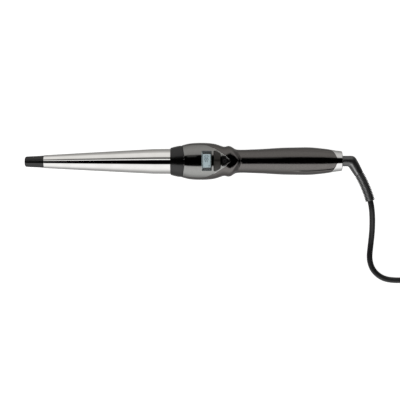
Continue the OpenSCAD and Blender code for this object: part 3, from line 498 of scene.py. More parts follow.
def fill(outer: Loop, holes: Sequence[Loop], spacing: float) -> tuple[Loop, list[tuple[int, int, int]]]:
    """Fills an outline with even triangles.

    Args:
        outer: The outline.
        holes: Outlines that are left open.
        spacing: The distance between the points that are added inside.

    Returns:
        The loops' points in order, then the added ones, and the triangles.
    """
    loops = [outer, *holes]
    edge = np.concatenate(loops)
    low, high = outer.min(0), outer.max(0)
    xs = np.arange(low[0] + spacing / 2, high[0], spacing)
    ys = np.arange(low[1] + spacing / 2, high[1], spacing)
    grid = np.stack(np.meshgrid(xs, ys), -1).reshape(-1, 2)
    kept = inside(grid, outer)
    for hole in holes:
        kept &= ~inside(grid, hole)
    grid = grid[kept]
    if len(grid):
        near = np.sqrt(((grid[:, None] - edge[None]) ** 2).sum(-1)).min(1)
        grid = grid[near > 0.55 * spacing]
    points = np.concatenate([edge, grid])
    edges, first = [], 0
    for loop in loops:
        edges += [(first + k, first + (k + 1) % len(loop)) for k in range(len(loop))]
        first += len(loop)
    found = delaunay_2d_cdt([Vector(p) for p in points], edges, [], 0, 1e-6)
    if len(found[0]) != len(points):
        crossings = [tuple(v) for v, o in zip(found[0], found[3]) if not o]
        LOG.warning("an outline crosses itself near %s", crossings[:2])
    ids = [o[0] if o else 0 for o in found[3]]
    tris = np.array([[ids[k] for k in f] for f in found[2] if len({ids[k] for k in f}) == 3])
    middle = points[tris].mean(1)
    kept = inside(middle, outer)
    for hole in holes:
        kept &= ~inside(middle, hole)
    return points, [tuple(int(v) for v in t) for t in tris[kept]]


@dataclass
class SkinPlate:
    """A plate that follows the handle's skin under an outline seen from above, its edges rounded."""

    outline: Loop
    holes: list[Loop] = field(default_factory=list)
    proud: float = 0.25
    depth: float = 1.2
    round_r: float = 0.4
    hole_round_r: float = 0.2
    spacing: float = 0.9
    across_scale: float = 17.0
    dish: Callable[[Points], Points] | None = None

    def unroll(self, loop: Loop) -> Loop:
        """Lays an outline seen from above out on the skin."""
        turn = np.arcsin(np.clip(loop[:, 1] / SKIN.wide(loop[:, 0]), -0.999, 0.999))
        return np.stack([loop[:, 0], turn * self.across_scale], 1)

    def roll(self, flat: Loop, depth: float | Points) -> Points:
        """Brings laid out points back to the skin, at a depth under the plate's top."""
        turn = flat[:, 1] / self.across_scale
        extra = self.dish(SKIN.wide(flat[:, 0]) * np.sin(turn)) if self.dish else 0.0
        return SKIN.point(flat[:, 0], turn, depth - self.proud + extra)

    def build(self, shape: Shape) -> None:
        """Adds the plate to a shape: its top, rounded edges, walls and underside."""
        flats = [self.unroll(loop) for loop in [self.outline, *self.holes]]
        tops: list[tuple[Loop, int]] = []
        lows: list[tuple[Loop, int]] = []
        for k, flat in enumerate(flats):
            out = loop_outward(flat) * (1 if k == 0 else -1)
            r = self.round_r if k == 0 else self.hole_round_r
            along, across, up = SKIN.frame(flat[:, 0], flat[:, 1] / self.across_scale)
            side = out[:, :1] * along + out[:, 1:] * across
            base = shape.put(self.roll(flat, self.depth + self.proud))
            lows.append((flat, base))
            base_normal = side
            for a in (math.radians(d) for d in (0, 18, 36, 54, 72, 90)):
                ring = flat - out * r * (1 - math.cos(a))
                here = shape.put(self.roll(ring, r * (1 - math.sin(a))))
                normal = math.cos(a) * side + math.sin(a) * up
                for i in range(len(flat)):
                    j = (i + 1) % len(flat)
                    quad = (base + i, base + j, here + j, here + i)
                    turned_out(shape, quad, (base_normal[i], base_normal[j], normal[j], normal[i]))
                base, base_normal = here, normal
            tops.append((flat - out * r, base))
        self.sheet(shape, tops, 0.0, self.spacing, 1.0)
        self.sheet(shape, lows, self.depth + self.proud, 2.5 * self.spacing, -1.0)

    def sheet(
        self, shape: Shape, loops: list[tuple[Loop, int]], depth: float, spacing: float, way: float
    ) -> None:
        """Fills the plate's top or underside between rings that are already there.

        Args:
            shape: What it is added to.
            loops: Each ring laid out flat, with the number of its first point.
            depth: How far under the plate's top it lies.
            spacing: The distance between its points.
            way: 1 for the top, -1 for the underside.
        """
        points, tris = fill(loops[0][0], [loop for loop, _ in loops[1:]], spacing)
        extra = points[sum(len(loop) for loop, _ in loops) :]
        first = shape.put(self.roll(extra, depth)) if len(extra) else 0
        index = [first_of + i for loop, first_of in loops for i in range(len(loop))]
        index += [first + i for i in range(len(extra))]
        up = way * SKIN.frame(points[:, 0], points[:, 1] / self.across_scale)[2]
        for t in tris:
            turned_out(shape, tuple(index[v] for v in t), tuple(up[v] for v in t))


def turned_out(shape: Shape, corners: Sequence[int], normals: Sequence[Points]) -> None:
    """Adds a face turned the way its corners' normals point."""
    p = np.array([shape.points[c] for c in corners])
    way = np.cross(p[1] - p[0], p[2] - p[0])
    if len(corners) == 4:
        way = np.cross(p[2] - p[0], p[3] - p[1])
    if float(np.dot(way, np.sum(normals, axis=0))) < 0:
        corners, normals = corners[::-1], normals[::-1]
    shape.face(corners, normals)


def upright(x: float, y: float, rows: Sequence[tuple[float, float]], sides: int) -> Points:
    """Level rings about an upright line, from rows of radius and height."""
    angle = np.linspace(0, 2 * math.pi, sides, endpoint=False)
    return np.array([
        np.stack([x + r * np.cos(angle), y + r * np.sin(angle), np.full(sides, z)], 1) for r, z in rows
    ])


def turned(
    shape: Shape,
    profile: Sequence[tuple[float | Points, float | Points]],
    sides: int = 96,
    closed: bool = False,
) -> None:
    """Adds a body round the wand's axis.

    Args:
        shape: What it is added to.
        profile: Rows of place along X and radius, each a number or one value for each side.
        sides: How many sides it has.
        closed: Whether the profile is a loop, as on a ring.
    """
    angle = np.linspace(0, 2 * math.pi, sides, endpoint=False)
    rings = []
    for place, radius in profile:
        x, r = np.broadcast_to(place, angle.shape), np.broadcast_to(radius, angle.shape)
        rings.append(np.stack([x, r * np.sin(angle), AXIS_Z + r * np.cos(angle)], 1))
    shape.tube(np.array(rings), closed)


def swept(shape: Shape, path: Points, radii: Sequence[float] | Points, sides: int = 20) -> None:
    """Adds a round bar along a path, with its ends closed."""
    way = np.gradient(path, axis=0)
    way /= np.linalg.norm(way, axis=1, keepdims=True)
    side = np.cross(way[0], (0.0, 0.0, 1.0))
    angle = np.linspace(0, 2 * math.pi, sides, endpoint=False)[:, None]
    rings = []
    for point, ahead, r in zip(path, way, radii, strict=True):
        side = side - ahead * np.dot(side, ahead)
        side /= np.linalg.norm(side)
        up = np.cross(ahead, side)
        rings.append(point + r * (np.cos(angle) * side + np.sin(angle) * up))
    shape.tube(np.array(rings))


def smooth_path(points: Points, step: float) -> Points:
    """A smooth line through points, divided into equal steps."""
    p = np.array(points, float)
    run = np.concatenate([[0], np.cumsum(np.linalg.norm(np.diff(p, axis=0), axis=1))])
    fine = np.linspace(0, run[-1], max(8, int(run[-1] / 0.5)))
    line = np.stack([Spline(run, p[:, k]).at(fine) for k in range(3)], 1)
    run = np.concatenate([[0], np.cumsum(np.linalg.norm(np.diff(line, axis=0), axis=1))])
    even = np.linspace(0, run[-1], max(4, round(run[-1] / step) + 1))
    return np.stack([np.interp(even, run, line[:, k]) for k in range(3)], 1)


def grown(
    name: str, tree: bpy.types.NodeTree, sizes: dict[str, object], seed: bpy.types.Mesh | None = None
) -> bpy.types.Object:
    """Runs a geometry tree and keeps its result as a plain piece.

    Args:
        name: The piece's name.
        tree: The geometry tree.
        sizes: A value for each named input.
        seed: The mesh that the tree starts from, if it needs one.

    Returns:
        The object, at the origin, without its modifier.
    """
    start = bpy.data.objects.new(name + "_start", seed or bpy.data.meshes.new(name + "_start"))
    bpy.context.collection.objects.link(start)
    run = start.modifiers.new("grow", "NODES")
    run.node_group = tree
    for item in tree.interface.items_tree:
        if item.in_out == "INPUT" and item.name in sizes:
            run[item.identifier] = sizes[item.name]
    bpy.context.view_layer.update()
    graph = bpy.context.evaluated_depsgraph_get()
    mesh = bpy.data.meshes.new_from_object(start.evaluated_get(graph), depsgraph=graph)
    mesh.name = name
    obj = bpy.data.objects.new(name, mesh)
    bpy.context.collection.objects.link(obj)
    bpy.data.objects.remove(start)
    return obj


def geometry_tree(
    name: str, inputs: dict[str, tuple[str, object]]
) -> tuple[bpy.types.NodeTree, bpy.types.Node, bpy.types.Node]:
    """Starts a geometry tree with named inputs.

    Args:
        name: The tree's name.
        inputs: Each input's kind and value.

    Returns:
        The tree with its group input and group output.
    """
    tree = bpy.data.node_groups.new(name, "GeometryNodeTree")
    tree.interface.new_socket("Geometry", in_out="INPUT", socket_type="NodeSocketGeometry")
    for key, (kind, value) in inputs.items():
        socket = tree.interface.new_socket(key, in_out="INPUT", socket_type="NodeSocket" + kind)
        if value is not None:
            socket.default_value = value
    tree.interface.new_socket("Geometry", in_out="OUTPUT", socket_type="NodeSocketGeometry")
    return tree, add(tree, "NodeGroupInput"), add(tree, "NodeGroupOutput")


def finish_tree(
    tree: bpy.types.NodeTree, start: bpy.types.Node, end: bpy.types.Node, geometry: bpy.types.Node
) -> None:
    """Ends a geometry tree in real faces, smooth and with their material."""
    real = add(tree, "GeometryNodeRealizeInstances", {"Geometry": geometry})
    smooth = add(tree, "GeometryNodeSetShadeSmooth", {"Geometry": real})
    sockets = {"Geometry": smooth, "Material": start.outputs["Material"]}
    tree.links.new(add(tree, "GeometryNodeSetMaterial", sockets).outputs[0], end.inputs[0])


def keep(obj: bpy.types.Object, body: str, slot: str, *nodes: str) -> bpy.types.Object:
    """Hands a finished piece to the frame.

    Args:
        obj: The piece.
        body: The body that it moves with.
        slot: The material slot's name. It is not used.
        *nodes: The CAD nodes that it stands for.

    Returns:
        The piece.
    """
    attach(obj, body)
    if nodes:
        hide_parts(*nodes)
    LOG.info("%s rides on %s", obj.name, body)
    return obj


def bevel(obj: bpy.types.Object, width: float, segments: int = 2, angle: float = 40.0) -> None:
    """Rounds a piece's sharp edges a little."""
    soft = obj.modifiers.new("edges", "BEVEL")
    soft.width = width * MM
    soft.segments = segments
    soft.limit_method = "ANGLE"
    soft.angle_limit = math.radians(angle)
    soft.harden_normals = True


# ---- finishes ----


# The part of a random pattern's range that is used, since its ends are rarely met.
MIDDLE = {"From Min": 0.3, "From Max": 0.7}


@dataclass(frozen=True)
class Finish:
    """What a surface is made of: two tones in soft clouds, and a finer grain that gives its relief."""

    name: str
    colour: str = "1c1c1c"
    shade: str = "181818"
    roughness: float = 0.4
    grain_mm: float = 0.35
    grain_depth_mm: float = 0.004
    ior: float = 1.5
    cloud_mm: float = 9.0
    cloud_detail: float = 3.0
    grain_detail: float = 3.0
    stretch: tuple[float, float, float] = (1, 1, 1)
    rough_span: tuple[float, float] = (-0.05, 0.05)
    rough_in_clouds: bool = False
    metal: bool = False

    def material(self) -> bpy.types.Material:
        """Makes the material once, and gives the same one after that."""
        made = bpy.data.materials.get(self.name)
        if made is None:
            made = blank(self.name)
            surface = add(made.node_tree, "ShaderNodeBsdfPrincipled", self.sockets(made.node_tree))
            add(made.node_tree, "ShaderNodeOutputMaterial", {"Surface": surface})
        return made

    def sockets(self, tree: bpy.types.NodeTree) -> dict[str, object]:
        """What goes into the surface's inputs. A metal keeps the default IOR."""
        cloud = self.pattern(tree, self.cloud_mm, self.cloud_detail)
        grain = self.pattern(tree, self.grain_mm, self.grain_detail, self.stretch)
        ends = {"To Min": self.roughness + self.rough_span[0], "To Max": self.roughness + self.rough_span[1]}
        value = cloud if self.rough_in_clouds else grain
        return {
            "Base Color": self.tone(tree, cloud),
            "Roughness": add(tree, "ShaderNodeMapRange", {"Value": value, **MIDDLE, **ends}),
            "Normal": self.relief(tree, grain),
            **({"Metallic": 1.0} if self.metal else {"IOR": self.ior}),
        }

    def pattern(
        self, tree: bpy.types.NodeTree, size_mm: float, detail: float, stretch: Sequence[float] = (1, 1, 1)
    ) -> bpy.types.NodeSocket:
        """An even random pattern on the piece's own coordinates.

        Args:
            tree: The material's tree.
            size_mm: The size of one spot.
            detail: How many finer layers it has.
            stretch: How much finer it is along each axis.

        Returns:
            A value from 0 to 1.
        """
        place = add(tree, "ShaderNodeTexCoord").outputs["Object"]
        scaled = add(tree, "ShaderNodeMapping", {"Vector": place, "Scale": tuple(stretch)})
        spots = {"Vector": scaled, "Scale": 1000 / size_mm, "Detail": detail, "Roughness": 0.55}
        return add(tree, "ShaderNodeTexNoise", spots).outputs["Fac"]

    def tone(self, tree: bpy.types.NodeTree, cloud: bpy.types.NodeSocket) -> bpy.types.NodeSocket:
        """The colour, which wanders to its shade where the cloud is dense."""
        share = add(tree, "ShaderNodeMapRange", {"Value": cloud, **MIDDLE})
        mix = {0: share, 6: tint(self.colour), 7: tint(self.shade)}
        return add(tree, "ShaderNodeMix", mix, data_type="RGBA").outputs[2]

    def relief(self, tree: bpy.types.NodeTree, height: object) -> bpy.types.Node:
        """Small hills as deep as the grain, from a pattern."""
        sockets = {"Strength": 1.0, "Distance": self.grain_depth_mm * MM, "Height": height}
        return add(tree, "ShaderNodeBump", sockets)


@dataclass(frozen=True)
class MouldedPlastic(Finish):
    """Injection moulded plastic: a fine spark-eroded grain takes the edge off its shine."""


@dataclass(frozen=True)
class PolishedMetal(Finish):
    """Plated or polished metal: nearly a mirror, its hairlines drawn wider than real so that they show."""

    grain_detail: float = 2.0
    stretch: tuple[float, float, float] = (1, 0.04, 0.04)
    cloud_mm: float = 14.0
    rough_span: tuple[float, float] = (0.0, 0.02)
    rough_in_clouds: bool = True
    metal: bool = True


@dataclass(frozen=True)
class MetallicLacquer(Finish):
    """Sprayed lacquer: flakes of 0.1 mm, drawn twice as coarse so that they show, under orange peel."""

    grain_mm: float = 0.22
    grain_depth_mm: float = 0.0006
    peel_mm: float = 2.6

    def sockets(self, tree: bpy.types.NodeTree) -> dict[str, object]:
        """Flakes that each have their own brightness, and a faint orange peel over them."""
        place = add(tree, "ShaderNodeTexCoord").outputs["Object"]
        cells = add(tree, "ShaderNodeTexVoronoi", {"Vector": place, "Scale": 1000 / self.grain_mm})
        bright = add(tree, "ShaderNodeSeparateColor", {0: cells.outputs["Color"]})
        share = add(tree, "ShaderNodeMapRange", {"Value": bright, "From Min": 0.55, "From Max": 1.0})
        mix = {0: share, 6: tint(self.colour), 7: tint(self.shade)}
        ends = {"To Min": self.roughness - 0.02, "To Max": self.roughness + 0.04}
        return {
            "Base Color": add(tree, "ShaderNodeMix", mix, data_type="RGBA").outputs[2],
            "Metallic": 1.0,
            "Roughness": add(tree, "ShaderNodeMapRange", {"Value": bright, **MIDDLE, **ends}),
            "Normal": self.relief(tree, self.pattern(tree, self.peel_mm, 1.0)),
        }


@dataclass(frozen=True)
class SatinRubber(Finish):
    """Moulded rubber or soft PVC: dull and dark, with a bloom that greys it unevenly."""

    roughness: float = 0.42
    cloud_mm: float = 11.0
    cloud_detail: float = 4.0
    grain_mm: float = 0.5
    grain_depth_mm: float = 0.01
    rough_span: tuple[float, float] = (-0.04, 0.06)
    rough_in_clouds: bool = True


@dataclass(frozen=True)
class TurnedMetal(Finish):
    """Machined or stamped metal inside the wand: satin, with stains and fine tool marks."""

    colour: str = "b9bbbd"
    shade: str = "a3a5a8"
    roughness: float = 0.32
    grain_mm: float = 0.3
    grain_depth_mm: float = 0.002
    cloud_mm: float = 5.0
    grain_detail: float = 2.0
    stretch: tuple[float, float, float] = (0.2, 1, 1)
    rough_span: tuple[float, float] = (-0.06, 0.08)
    metal: bool = True


@dataclass(frozen=True)
class LiquidCrystal(Finish):
    """The display's reflective back behind its polariser: pale blue grey, slightly satin, given a painted
    glow.
    """

    colour: str = "9ba9ac"
    shade: str = "93a2a6"

    def sockets(self, tree: bpy.types.NodeTree) -> dict[str, object]:
        """A pale ground with a faint cloudiness, and a painted glow: emission that stands in for the studio
        light on the reflective display, not a backlight.
        """
        colour = self.tone(tree, self.pattern(tree, 4.0, 2.0))
        # The emission is painted light: the reflective display has no lamp, and its glow stands in for the
        # studio light falling on it.
        return {"Base Color": colour, "Roughness": 0.5, "Emission Color": colour, "Emission Strength": 2.2}


@dataclass(frozen=True)
class Lens(Finish):
    """A hard-coated acrylic window: clear and glossy, with a faint smoky cast."""

    colour: str = "33373a"

    def sockets(self, tree: bpy.types.NodeTree) -> dict[str, object]:
        """A see-through gloss with a trace of dust in it."""
        dust = {"Value": self.pattern(tree, 6.0, 3.0), **MIDDLE, "To Min": 0.05, "To Max": 0.1}
        gloss = add(tree, "ShaderNodeMapRange", dust)
        return {"Base Color": tint(self.colour), "Roughness": gloss, "IOR": 1.49, "Alpha": 0.1}


@dataclass(frozen=True)
class WovenTape(Finish):
    """Woven nylon tape with a brushed loop face: matt, with its threads of 0.8 mm crossing."""

    colour: str = "202021"
    shade: str = "38383a"
    grain_mm: float = 0.8
    grain_depth_mm: float = 0.06

    def sockets(self, tree: bpy.types.NodeTree) -> dict[str, object]:
        """Two sets of thread ridges that cross, and a soft sheen on top."""
        place = add(tree, "ShaderNodeTexCoord").outputs["Object"]
        thread = {"Vector": place, "Scale": 1000 / self.grain_mm / 6.28, "Distortion": 0.4}
        ridges = [
            add(tree, "ShaderNodeTexWave", thread, bands_direction=way).outputs["Fac"] for way in ("X", "Y")
        ]
        weave = add(tree, "ShaderNodeMath", dict(enumerate(ridges)), operation="MULTIPLY")
        mix = {0: weave, 6: tint(self.colour), 7: tint(self.shade)}
        return {
            "Base Color": add(tree, "ShaderNodeMix", mix, data_type="RGBA").outputs[2],
            "Roughness": 0.85,
            "Normal": self.relief(tree, weave),
            "Sheen Weight": 0.3,
        }


@dataclass(frozen=True)
class Film(Finish):
    """Polyimide film wound round the heater: glossy, clear amber that looks denser at its folds."""

    colour: str = "c07a1c"
    shade: str = "8f5310"

    def sockets(self, tree: bpy.types.NodeTree) -> dict[str, object]:
        """Amber with darker clouds under a gloss."""
        return {"Base Color": self.tone(tree, self.pattern(tree, 6.0, 3.0)), "Roughness": 0.22, "IOR": 1.7}


class Look(Enum):
    """The finishes of the wand's pieces."""

    TIP = MouldedPlastic("heat_resistant_plastic", "0b0b0b", "080808", 0.1, 0.4, 0.0006, 1.62)
    COLLAR = MouldedPlastic("satin_collar_plastic", "0c0c0c", "090909", 0.2, 0.4, 0.0015, 1.62)
    BARREL = PolishedMetal("polished_barrel_plate", "f4f3f1", "ecebe8", 0.03, 0.25, 0.00012)
    SHELL = MetallicLacquer("gunmetal_lacquer", "706d6b", "807d7b", 0.13)
    PANEL = MetallicLacquer("silver_panel_lacquer", "9b9b99", "a9aaa8", 0.09, 0.2)
    CHROME = PolishedMetal("chrome_plate", "f3f3f2", "ecebea", 0.04, 0.4, 0.0001)
    LENS = Lens("window_lens")
    BORDER = MouldedPlastic("window_border_print", "757a7a", "6f7474", 0.4, 0.3, 0.001)
    # Both glow by a painted emission that stands in for light on the display, on its ground and on its digits
    # alike.
    LCD = LiquidCrystal("display_backing_painted_glow")
    SEGMENT = LiquidCrystal("display_segment_painted_glow", "263a44", "243741")
    ROCKER = MouldedPlastic("rocker_plastic", "595652", "53504c", 0.46, 0.35, 0.004, 1.53)
    POWER = MouldedPlastic("power_key_plastic", "1a1a1a", "171717", 0.3, 0.35, 0.002)
    MARK = MouldedPlastic("key_print", "5c5c5c", "555555", 0.45, 0.3, 0.002)
    RUBBER = SatinRubber("satin_cord_rubber", "29292a", "39393a")
    BOOT = SatinRubber("moulded_boot_rubber", "202021", "2a2a2b", 0.3, 0.45, 0.006, 2.2)
    PLUG = SatinRubber("moulded_plug_rubber", "1b1b1c", "272728", 0.45, 0.45, 0.012)
    STRAP = WovenTape("hook_and_loop_tape")
    PIN = PolishedMetal("nickel_plated_brass", "d9d2c2", "cbc3b2", 0.16, 0.3, 0.0006, stretch=(1, 1, 1))
    STEEL = TurnedMetal("zinc_plated_steel")
    ALUMINIUM = TurnedMetal("extruded_aluminium", "c9cbcd", "b4b6b9", 0.38)
    BRASS = TurnedMetal("stamped_brass", "c99c4e", "b0843c", 0.3)
    PHENOLIC = MouldedPlastic("moulded_phenolic", "5a3a20", "4a2f1a", 0.45, 0.5, 0.006)
    CERAMIC = MouldedPlastic("sintered_ceramic", "d9d5c8", "cfcabb", 0.6, 0.4, 0.006)
    FILM = Film("amber_film")
    EPOXY = MouldedPlastic("red_dipped_epoxy", "9c2b1e", "86241a", 0.25, 0.6, 0.01)
    SLEEVE = MouldedPlastic("glass_fibre_sleeve", "d8d4c4", "c6c1ae", 0.7, 0.5, 0.02)
    ACETAL = MouldedPlastic("black_acetal", "161617", "121213", 0.35, 0.4, 0.002)
    WHITE = MouldedPlastic("white_nylon", "dedcd4", "d2d0c8", 0.45, 0.4, 0.004)
    BOARD = MouldedPlastic("solder_masked_board", "1d5a36", "174a2c", 0.28, 0.8, 0.004)
    COMPONENT = MouldedPlastic("black_component_epoxy", "1e1e20", "18181a", 0.5, 0.35, 0.006)


# ---- power cord, boot and plug ----


@dataclass
class PowerCord:
    """The free cord: out of the boot, down to the table, into a tied coil and on to the plug."""

    diameter: float = 6.0
    coil_centre: tuple[float, float] = (288.0, -77.0)
    outer_turn: float = 48.0
    pitch: float = 6.0
    turns: int = 4
    low_z: float = 4.1
    high_z: float = 10.1
    plug_x: float = 336.0
    plug_end_y: float = -40.0
    plug_z: float = 6.85

    def lead(self) -> list[tuple[float, float, float]]:
        """The route from inside the boot to the coil."""
        return [
            (193.55, -39.0, 17), (194.3, -41.8, 17), (195.3, -46.5, 16.7), (196.3, -53, 15),
            (197.1, -61, 11.8), (197.5, -69, 8.4), (197.4, -77, 5.6), (196.8, -85, 3.8),
            (196.1, -92, 3.1), (195.5, -99, 3), (196.2, -106.5, 3), (199, -113.5, 3),
            (204.2, -119.3, 3), (211.2, -123.2, 3), (219.5, -124.8, 3.2), (230, -125, 3.8),
            (243, -125, 4.1), (256, -125, 4.1), (270, -125, 4.1), (280, -125, 4.1),
        ]  # fmt: skip

    def coil(self) -> list[tuple[float, float, float]]:
        """The wound turns: inwards in the lower layer, up, and outwards in the upper one."""
        points = []
        x, y = self.coil_centre
        inner = self.outer_turn - self.pitch * self.turns
        step = 10
        for k in range(0, 360 * self.turns, step):
            points.append((k - 90, self.outer_turn - self.pitch * k / 360, self.low_z))
        for k in range(0, 90, step):
            rise = 0.5 - 0.5 * math.cos(math.pi * k / 90)
            points.append((k - 90, inner, self.low_z + (self.high_z - self.low_z) * rise))
        for k in range(0, 360 * self.turns + 1, step):
            points.append((k, inner + self.pitch * k / 360, self.high_z))
        return [
            (x + r * math.cos(math.radians(a)), y + r * math.sin(math.radians(a)), z) for a, r, z in points
        ]

    def tail(self) -> list[tuple[float, float, float]]:
        """The route from the coil into the plug's strain relief."""
        x = self.plug_x
        return [
            (x, -72, 10.1), (x, -66, 9.8), (x, -60, 9), (x, -54, 8), (x, -48, 7.2),
            (x, -44, self.plug_z), (x, self.plug_end_y + 3, self.plug_z),
        ]  # fmt: skip

    def centreline(self) -> Points:
        """The whole route, in even steps."""
        return smooth_path(np.array(self.lead() + self.coil() + self.tail()), 2.4)

    def build(self, with_pieces: Sequence[bpy.types.Object | str]) -> bpy.types.Object:
        """Args:
            with_pieces: The pieces that are on the cord. It is not used.

        Returns:
            The cord.
        """
        line = self.centreline()
        shape = Shape()
        swept(shape, line, np.full(len(line), self.diameter / 2), 22)
        cord = shape.piece("power_lead", Look.RUBBER.value, 60)
        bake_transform(cord)
        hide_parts("power_cord", "cord_coil", "cord_tail")
        return cord


@dataclass
class RibStack:
    """Round ribs set along an arc, as on a strain relief."""

    count: int = 18
    rib_r: float = 4.9
    rib_l: float = 1.1
    rib_t: float = 1.4
    edge_r: float = 0.14

    def tree(self) -> bpy.types.NodeTree:
        """One rounded rib, copied along an arc in the wand's level plane."""
        inputs: dict[str, tuple[str, object]] = {
            "Count": ("Int", self.count),
            "Rib Radius": ("Float", self.rib_r * MM),
            "Rib Length": ("Float", self.rib_l * MM),
            "Rib Height": ("Float", self.rib_t * MM),
            "Edge Radius": ("Float", self.edge_r * MM),
            "Taper": ("Float", 0.0),
            "Centre": ("Vector", (0.0, 0.0, 0.0)),
            "Arc Radius": ("Float", 0.1),
            "Start Angle": ("Float", 0.0),
            "Angle Step": ("Float", 0.1),
            "Material": ("Material", None),
        }
        tree, start, end = geometry_tree("rib_stack", inputs)
        given = start.outputs
        node = partial(add, tree)
        inward = node("ShaderNodeMath", {0: given["Rib Height"], 1: -0.5}, operation="MULTIPLY")
        middle_r = node("ShaderNodeMath", {0: given["Rib Radius"], 1: inward}, operation="ADD")
        ring = node("GeometryNodeCurvePrimitiveCircle", {"Resolution": 48, "Radius": middle_r})
        oblong = {"Width": given["Rib Height"], "Height": given["Rib Length"]}
        section = node("GeometryNodeCurvePrimitiveQuadrilateral", oblong)
        corners = {"Curve": section, "Radius": given["Edge Radius"]}
        soft = node("GeometryNodeFilletCurve", corners, mode="POLY")
        rib = node("GeometryNodeCurveToMesh", {"Curve": ring, "Profile Curve": soft})
        upright = node("GeometryNodeTransform", {"Geometry": rib, "Rotation": (math.pi / 2, 0.0, 0.0)})
        row = node("GeometryNodeMeshLine", {"Count": given["Count"], "Offset": (0.0, 0.0, 0.0)})
        index = node("GeometryNodeInputIndex")
        turns = {0: index, 1: given["Angle Step"], 2: given["Start Angle"]}
        angle = node("ShaderNodeMath", turns, operation="MULTIPLY_ADD")
        cos = node("ShaderNodeMath", {0: angle}, operation="COSINE")
        sin = node("ShaderNodeMath", {0: angle}, operation="SINE")
        way = node("ShaderNodeCombineXYZ", {0: cos, 1: sin})
        arm = node("ShaderNodeVectorMath", {0: way, "Scale": given["Arc Radius"]}, operation="SCALE")
        spot = node("ShaderNodeVectorMath", {0: arm, 1: given["Centre"]}, operation="ADD")
        arc = node("GeometryNodeSetPosition", {"Geometry": row, "Position": spot})
        turn = node("ShaderNodeCombineXYZ", {2: angle})
        drawn = node("ShaderNodeMath", {0: index, 1: given["Taper"], 2: 1.0}, operation="MULTIPLY_ADD")
        copies = {"Points": arc, "Instance": upright, "Rotation": turn, "Scale": drawn}
        finish_tree(tree, start, end, node("GeometryNodeInstanceOnPoints", copies))
        return tree


@dataclass
class CordBoot:
    """The swivelling boot: a round neck, a hard elbow and a ribbed strain relief."""

    neck_r: float = 5.5
    neck_len: float = 9.8
    turn_deg: float = 60.0
    arm_len: float = 16.2
    relief_len: float = 29.6
    relief_bend_deg: float = 15.0
    core_r: float = 4.0
    ribs: RibStack = field(default_factory=RibStack)
    outer_fillet: float = 6.0
    inner_fillet: float = 3.2

    def elbow_ring(self, share: float, turn: Points) -> Points:
        """One ring of the elbow.

        Args:
            share: How far round the elbow it is, from 0 to 1.
            turn: Angles round the section.

        Returns:
            The ring's points.
        """
        u, z = self.neck_r * np.cos(turn), self.neck_r * np.sin(turn)
        half = math.tan(math.radians(self.turn_deg / 2))
        f = self.inner_fillet + (self.outer_fillet - self.inner_fillet) * (np.cos(turn) + 1) / 2
        a = math.radians(self.turn_deg * share)
        x = u * half - f * half + f * math.sin(a)
        y = u - f + f * math.cos(a)
        return np.stack([X_TAIL + self.neck_len + x, y, AXIS_Z + z], 1)

    def hoop(self, middle: Points, left: Points, r: float, turn: Points) -> Points:
        """A ring of the arm or the relief about its middle, with left its level direction."""
        up = np.array([0, 0, 1])
        return middle + r * np.cos(turn)[:, None] * left + (r * np.sin(turn))[:, None] * up

    def build(self) -> list[bpy.types.Object]:
        """Makes the boot's body and its ribs."""
        sides = 72
        turn = np.linspace(0, 2 * math.pi, sides, endpoint=False)
        rings = []
        front = X_CAP_END + 0.3
        for x, r in [(0, 0), (0, 5.0), (0.1, 5.25), (0.3, 5.43), (0.6, 5.5)]:
            y, z = r * np.cos(turn), r * np.sin(turn)
            rings.append(np.stack([np.full(sides, front + x), y, AXIS_Z + z], 1))
        rings += [self.elbow_ring(s, turn) for s in np.linspace(0, 1, 13)]
        a = math.radians(self.turn_deg)
        ahead = np.array([math.cos(a), -math.sin(a), 0])
        left = np.array([math.sin(a), math.cos(a), 0])
        elbow = np.array([X_TAIL + self.neck_len, 0, AXIS_Z])
        arm = [
            (4.6, self.neck_r), (8.0, 5.3), (11.5, 5.05), (14.2, 4.85), (15.2, 4.76), (15.7, 4.62),
            (16.0, 4.3), (16.1, 4.0),
        ]  # fmt: skip
        rings += [self.hoop(elbow + s * ahead, left, r, turn) for s, r in arm]
        bend = math.radians(self.relief_bend_deg)
        arc_r = self.relief_len / bend
        start = elbow + self.arm_len * ahead
        centre = start - arc_r * left
        rim = 1 - 0.9 / self.relief_len
        relief = [(s, self.core_r) for s in np.linspace(0.01, rim - 0.02, 24)]
        relief += [
            (rim - 0.012, 4.0), (rim - 0.01, 4.4), (rim, 4.58), (rim + 0.014, 4.58), (rim + 0.026, 4.4),
            (1.0, 4.1), (1.0, 3.2), (rim, 3.15), (rim, 0),
        ]  # fmt: skip
        for share, r in relief:
            b = a + bend * share
            out = np.array([math.sin(b), math.cos(b), 0])
            rings.append(self.hoop(centre + arc_r * out, out, r, turn))
        shape = Shape()
        shape.tube(np.array(rings))
        body = keep(shape.piece("swivel_elbow", Look.BOOT.value), "cord_swivel", "cord_rubber", "swivel_boot")
        pitch = bend / self.ribs.count
        sizes = {
            "Centre": tuple(centre * MM),
            "Arc Radius": arc_r * MM,
            "Start Angle": math.pi / 2 - a - 0.5 * pitch,
            "Angle Step": -pitch,
            "Material": Look.BOOT.value.material(),
        }
        ribs = keep(grown("relief_ribs", self.ribs.tree(), sizes), "cord_swivel", "cord_rubber")
        return [body, ribs]


